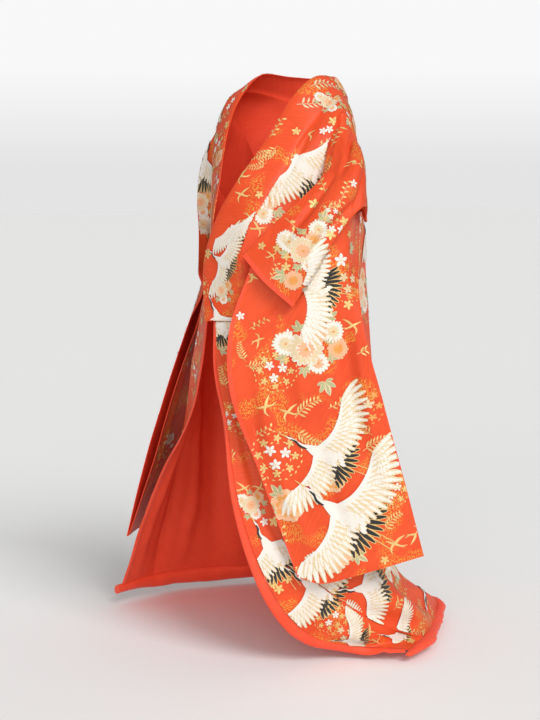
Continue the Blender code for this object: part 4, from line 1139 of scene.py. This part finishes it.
# Where each motif lies: its sheets, then the drawing, a point, its turn in degrees and its size in
# millimetres, below zero for a mirrored one. A point is in millimetres in the robe's space, or, with
# two values, at a percentage of the first sheet's rows and columns.
places = [
    (("sleeve_left",), [
        (craneRising, (264, -108, -846), 160, -84), (craneGliding, (290, -72, -990), 150, -102),
        (flowers, (270, -172, -372), 10, 48), (pale, (231, -192, -346), 0, 21),
        (pale, (292, -145, -325), 15, 22), (leaves, (300, -135, -305), 80, 28),
        (leaves, (240, -200, -425), 200, 30), (peach, (252, -185, -440), 0, 22),
        (goldSpray, (222, -214, -420), 30, 22), (goldBird, (212, -214, -385), 20, 16),
        (goldRoundel, (315, -125, -285), 0, 28), (goldSpray, (318, -85, -235), 30, 26),
        (goldSpray, (262, -110, -215), 80, 30), (goldFern, (245, -75, -150), 240, 60),
        (goldSpray, (215, -30, -110), 60, 30), (craneWing, (245, -135, -455), 170, 75),
        (flowers, (243, -141, -600), 25, 60), (pale, (282, -90, -560), 15, 26),
        (peach, (290, -80, -600), 15, 24), (leaves, (275, -99, -530), 80, 32),
        (leaves, (270, -105, -675), 290, 36), (goldRoundel, (196, -192, -650), 0, 52),
        (goldBird, (302, -48, -548), 20, 24), (goldFern, (310, -36, -612), 10, 55),
        (goldFern, (150, -243, -630), 100, 50), (goldFern, (150, -243, -640), 20, -55),
        (orangeRoundel, (298, -50, -445), 0, 50), (whiteBlossom, (283, -69, -397), 0, 16),
        (goldBird, (180, -207, -735), 200, -26), (goldBird, (215, -170, -748), 170, -26),
        (goldFern, (225, -157, -760), 30, 75), (goldFern, (225, -157, -790), -20, -70),
        (goldRoundel, (196, -187, -850), 0, 60), (orangeRoundel, (318, -35, -735), 0, 50),
        (goldFern, (320, -30, -840), 20, 70), (goldFern, (335, -12, -800), 130, 60),
        (goldRoundel, (361, 21, -930), 0, 46), (goldFern, (350, 10, -1030), 40, 62),
        (goldBird, (366, 30, -1062), 170, -28), (fullPeony, (210, -165, -968), 0, 40),
        (fullPeony, (278, -90, -905), 0, 34), (leaves, (196, -186, -985), 170, 34),
        (leaves, (200, -180, -945), 130, 34), (leaves, (290, -75, -885), 60, 30),
        (peach, (277, -82, -1088), 10, 40), (pale, (250, -115, -1105), 10, 26),
        (leaves, (310, -44, -1085), 330, 34), (goldSpray, (190, -190, -1060), 60, 34),
        (goldSpray, (175, -215, -920), 60, 30)]),
    (("collar", "overlap_left"), [(craneSoaring, (60, -247, -545), 120, -60)]),
    (("overlap_left", "body_left"), [
        (craneGliding, (158, -175, -1085), 128, -78), (craneRising, (212, -85, -1180), 150, -80)]),
    (("body_left",), [(craneGliding, (262, 40, -1190), 190, -72)]),
    (("overlap_left", "body_left"), [
        (craneSoaring, (226, 20, -1322), 165, 44), (craneRising, (276, 128, -1330), 170, -44)]),
    (("body_left",), [
        (goldFern, (262, 120, -1250), 30, 60), (goldSpray, (268, 90, -1290), 60, 34)]),
    (("overlap_left",), [
        (flowers, (128, -208, -975), 10, 34), (goldRoundel, (78, -238, -770), 0, 36),
        (goldFern, (74, -240, -700), 100, 55), (goldFern, (92, -230, -870), 110, 60),
        (creamFern, (195, -105, -1262), 50, 85)]),
    (("overlap_left", "body_left"), [
        (goldRoundel, (225, -45, -1258), 0, 42), (orangeRoundel, (221, 3, -1300), 0, 42)]),
    (("body_left",), [
        (craneGliding, (168, -98, -176), 140, -74), (peach, (141, -163, -255), 0, 28),
        (pale, (137, -180, -293), 0, 24), (leaves, (150, -150, -285), 300, 26)]),
    (("body_left", "collar"), [(flowers, (150, 10, -40), 20, 30)]),
    (("collar",), [
        (creamFern, (98, -8, -8), 5, 80), (creamFern, (104, -50, -48), 25, -80),
        (goldSpray, (96, -100, -100), 30, 30), (goldFern, (118, -120, -138), 215, 58),
        (goldFern, (118, -128, -156), 200, -60), (goldFern, (112, -145, -178), 185, 52),
        (goldBird, (74, -192, -209), 190, -22), (goldBird, (85, -200, -250), 170, -22),
        (craneWing, (78, -224, -330), 130, -50), (craneGliding, (62, -236, -405), 160, -46),
        (flowers, (66, -245, -470), 0, 30)]),
    (("sleeve_right",), [
        (craneRising, (-250, -55, -180), 70, 70), (flowers, (-253, -67, -275), 0, 36),
        (pale, (-236, -73, -330), 0, 26), (goldFern, (-240, -65, -380), 80, 60),
        (flowers, (-350, -112, -800), 0, 34), (orangeRoundel, (-400, -110, -950), 0, 40),
        (craneGliding, (78, 35), 20, 105), (craneRising, (90, 55), 30, 100),
        (flowers, (68, 55), 0, 56), (flowers, (93, 25), 0, 50), (goldRoundel, (72, 20), 0, 50),
        (orangeRoundel, (84, 78), 0, 50)]),
    (("body_right",), [
        (craneSoaring, (66, 45), 40, 80), (flowers, (74, 60), 0, 50)]),
    (("body_right", "overlap_right"), [
        (craneGliding, (84, 40), 30, 95), (craneRising, (94, 55), 20, 90)]),
    (("overlap_right",), [
        (flowers, (55, 50), 0, 40), (orangeRoundel, (82, 40), 0, 40)]),
    (("body_left", "body_right"), [(craneRising, (38, 15), 155, -105)]),
    (("body_right", "body_left"), [(craneGliding, (27, 45), 25, 110)]),
    (("body_left", "body_right"), [(craneSoaring, (18, 50), 150, -110)]),
    (("body_right", "body_left"), [(craneRising, (9, 25), 20, 110)]),
    (("body_left",), [(craneGliding, (6, 75), 160, -100)]),
    (("body_right",), [(craneGliding, (7, 85), 10, 95)]),
    (("body_right", "body_left"), [(flowers, (43, 55), 0, 58)]),
    (("body_left",), [(flowers, (30, 72), 30, 58)]),
    (("body_left", "body_right"), [(flowers, (22, 5), 60, 60)]),
    (("body_right",), [(flowers, (16, 80), 0, 60)]),
    (("body_left",), [
        (flowers, (12, 90), 20, 56), (goldRoundel, (36, 75), 0, 50)]),
    (("body_right",), [(goldRoundel, (34, 72), 0, 50)]),
    (("body_left",), [(orangeRoundel, (24, 85), 0, 52)]),
    (("body_right",), [(orangeRoundel, (21, 20), 0, 52)]),
]
for sheets, laid in places:
    for motif, point, turn, size in laid:
        if len(point) == 2:
            net = outerFaces[sheets[0]][0]
            row, column = (round(share / 100 * (count - 1)) for share, count in zip(point, net.shape))
            point = net[row, column]
        else:
            point = metres(point)
        embroider(sheets, motif, point, turn, abs(size) / 1000, 1 if size > 0 else -1)
# Between them small motifs are strewn: the drawing, its size, its turn and how often it is drawn
small = [(goldFern, 0.068, 60, 2), (goldSpray, 0.028, 30, 4), (goldBird, 0.022, 0, 1.5),
         (goldRoundel, 0.036, 0, 1.2), (orangeRoundel, 0.034, 0, 1), (creamFern, 0.045, 60, 1),
         (leaves, 0.024, 0, 1), (whiteBlossom, 0.010, 0, 1), (goldBlossom, 0.011, 0, 2),
         (pale, 0.020, 0, 0.6), (peach, 0.020, 0, 0.6)]
for name, tries in (("sleeve_left", 700), ("sleeve_right", 500), ("body_left", 700), ("body_right", 700),
                    ("overlap_left", 260), ("overlap_right", 150), ("collar", 320)):
    scatter(name, small, tries)
for name, (bm, missed) in stitched.items():
    bmesh.ops.delete(bm, geom=missed, context="VERTS")
    print("embroidery", name, sum(len(f.verts) - 2 for f in bm.faces))
    finish(bm, "embroidery_" + name, threadSilks, None)
print("embroidery laid")

# Floor, lights, backdrop and camera
stage = {
    "floor": -1.381, "floorSize": 30, "floorColour": "F4F4F3", "floorRoughness": 0.8,
    "lamps": (("soft key", 2.05, 26, (3.1, -0.5, 2.4)), ("soft fill", 1.6, 55, (2.15, -2.1, 0.55))),
    "room": 0.38,                                      # the room's own light, low so that the folds show
    "backdrop": (0.775, 0.94), "backdropRise": 0.06,   # it meets the floor's level at the horizon
    "lens": 77.4, "sensor": 36, "tilt": 7.2, "distance": 3.8, "height": -0.18, "forward": (-0.77, 0.64),
    "shift": (270 - 285) / 720,
}
bm = bmesh.new()
bmesh.ops.create_grid(bm, x_segments=1, y_segments=1, size=stage["floorSize"])
bmesh.ops.translate(bm, vec=(0, 0, stage["floor"]), verts=bm.verts)
floorMesh = bpy.data.meshes.new("floor")
bm.to_mesh(floorMesh)
bm.free()
floor = bpy.data.objects.new("floor", floorMesh)
# Matt white studio floor: rolled paint, with no reflections
paper = newMaterial("matt white studio floor", {"Base Color": hexColour(stage["floorColour"]),
                                                "Roughness": stage["floorRoughness"]})[0]
floorMesh.materials.append(paper)
bpy.context.scene.collection.objects.link(floor)

for name, energy, angle, place in stage["lamps"]:
    light = bpy.data.lights.new(name, "SUN")
    light.energy, light.angle = energy, math.radians(angle)
    lamp = bpy.data.objects.new(name, light)
    lamp.location = place
    lamp.rotation_euler = (-lamp.location).to_track_quat("-Z", "Y").to_euler()
    bpy.context.scene.collection.objects.link(lamp)

world = bpy.data.worlds.new("soft white studio")
world.use_nodes = True
tree = world.node_tree
ray = addNode(tree, "LightPath", {})
way = addNode(tree, "TexCoord", {})
height = addNode(tree, "SeparateXYZ", {"Vector": (way, "Generated")})
rise = addNode(tree, "MapRange", {"Value": (height, "Z"), "From Min": 0.0, "From Max": stage["backdropRise"],
                                  "To Min": stage["backdrop"][0], "To Max": stage["backdrop"][1]})
level = addNode(tree, "MapRange", {"Value": (ray, "Is Camera Ray"), "To Min": stage["room"],
                                   "To Max": (rise, "Result")})
tree.nodes["Background"].inputs["Color"].default_value = (1, 1, 1, 1)
tree.links.new(level.outputs["Result"], tree.nodes["Background"].inputs["Strength"])
bpy.context.scene.world = world

lens = bpy.data.cameras.new("camera")
lens.lens = stage["lens"]
lens.sensor_width = stage["sensor"]
lens.sensor_fit = "AUTO"
lens.shift_x = stage["shift"]
camera = bpy.data.objects.new("camera", lens)
x, y = stage["forward"]
camera.location = (-x * stage["distance"], -y * stage["distance"], stage["height"])
down = -math.tan(math.radians(stage["tilt"]))
camera.rotation_euler = Vector((x, y, down)).to_track_quat("-Z", "Y").to_euler()
bpy.context.scene.collection.objects.link(camera)
bpy.context.scene.camera = camera
bpy.context.scene.view_settings.view_transform = "Standard"
print("stage set")
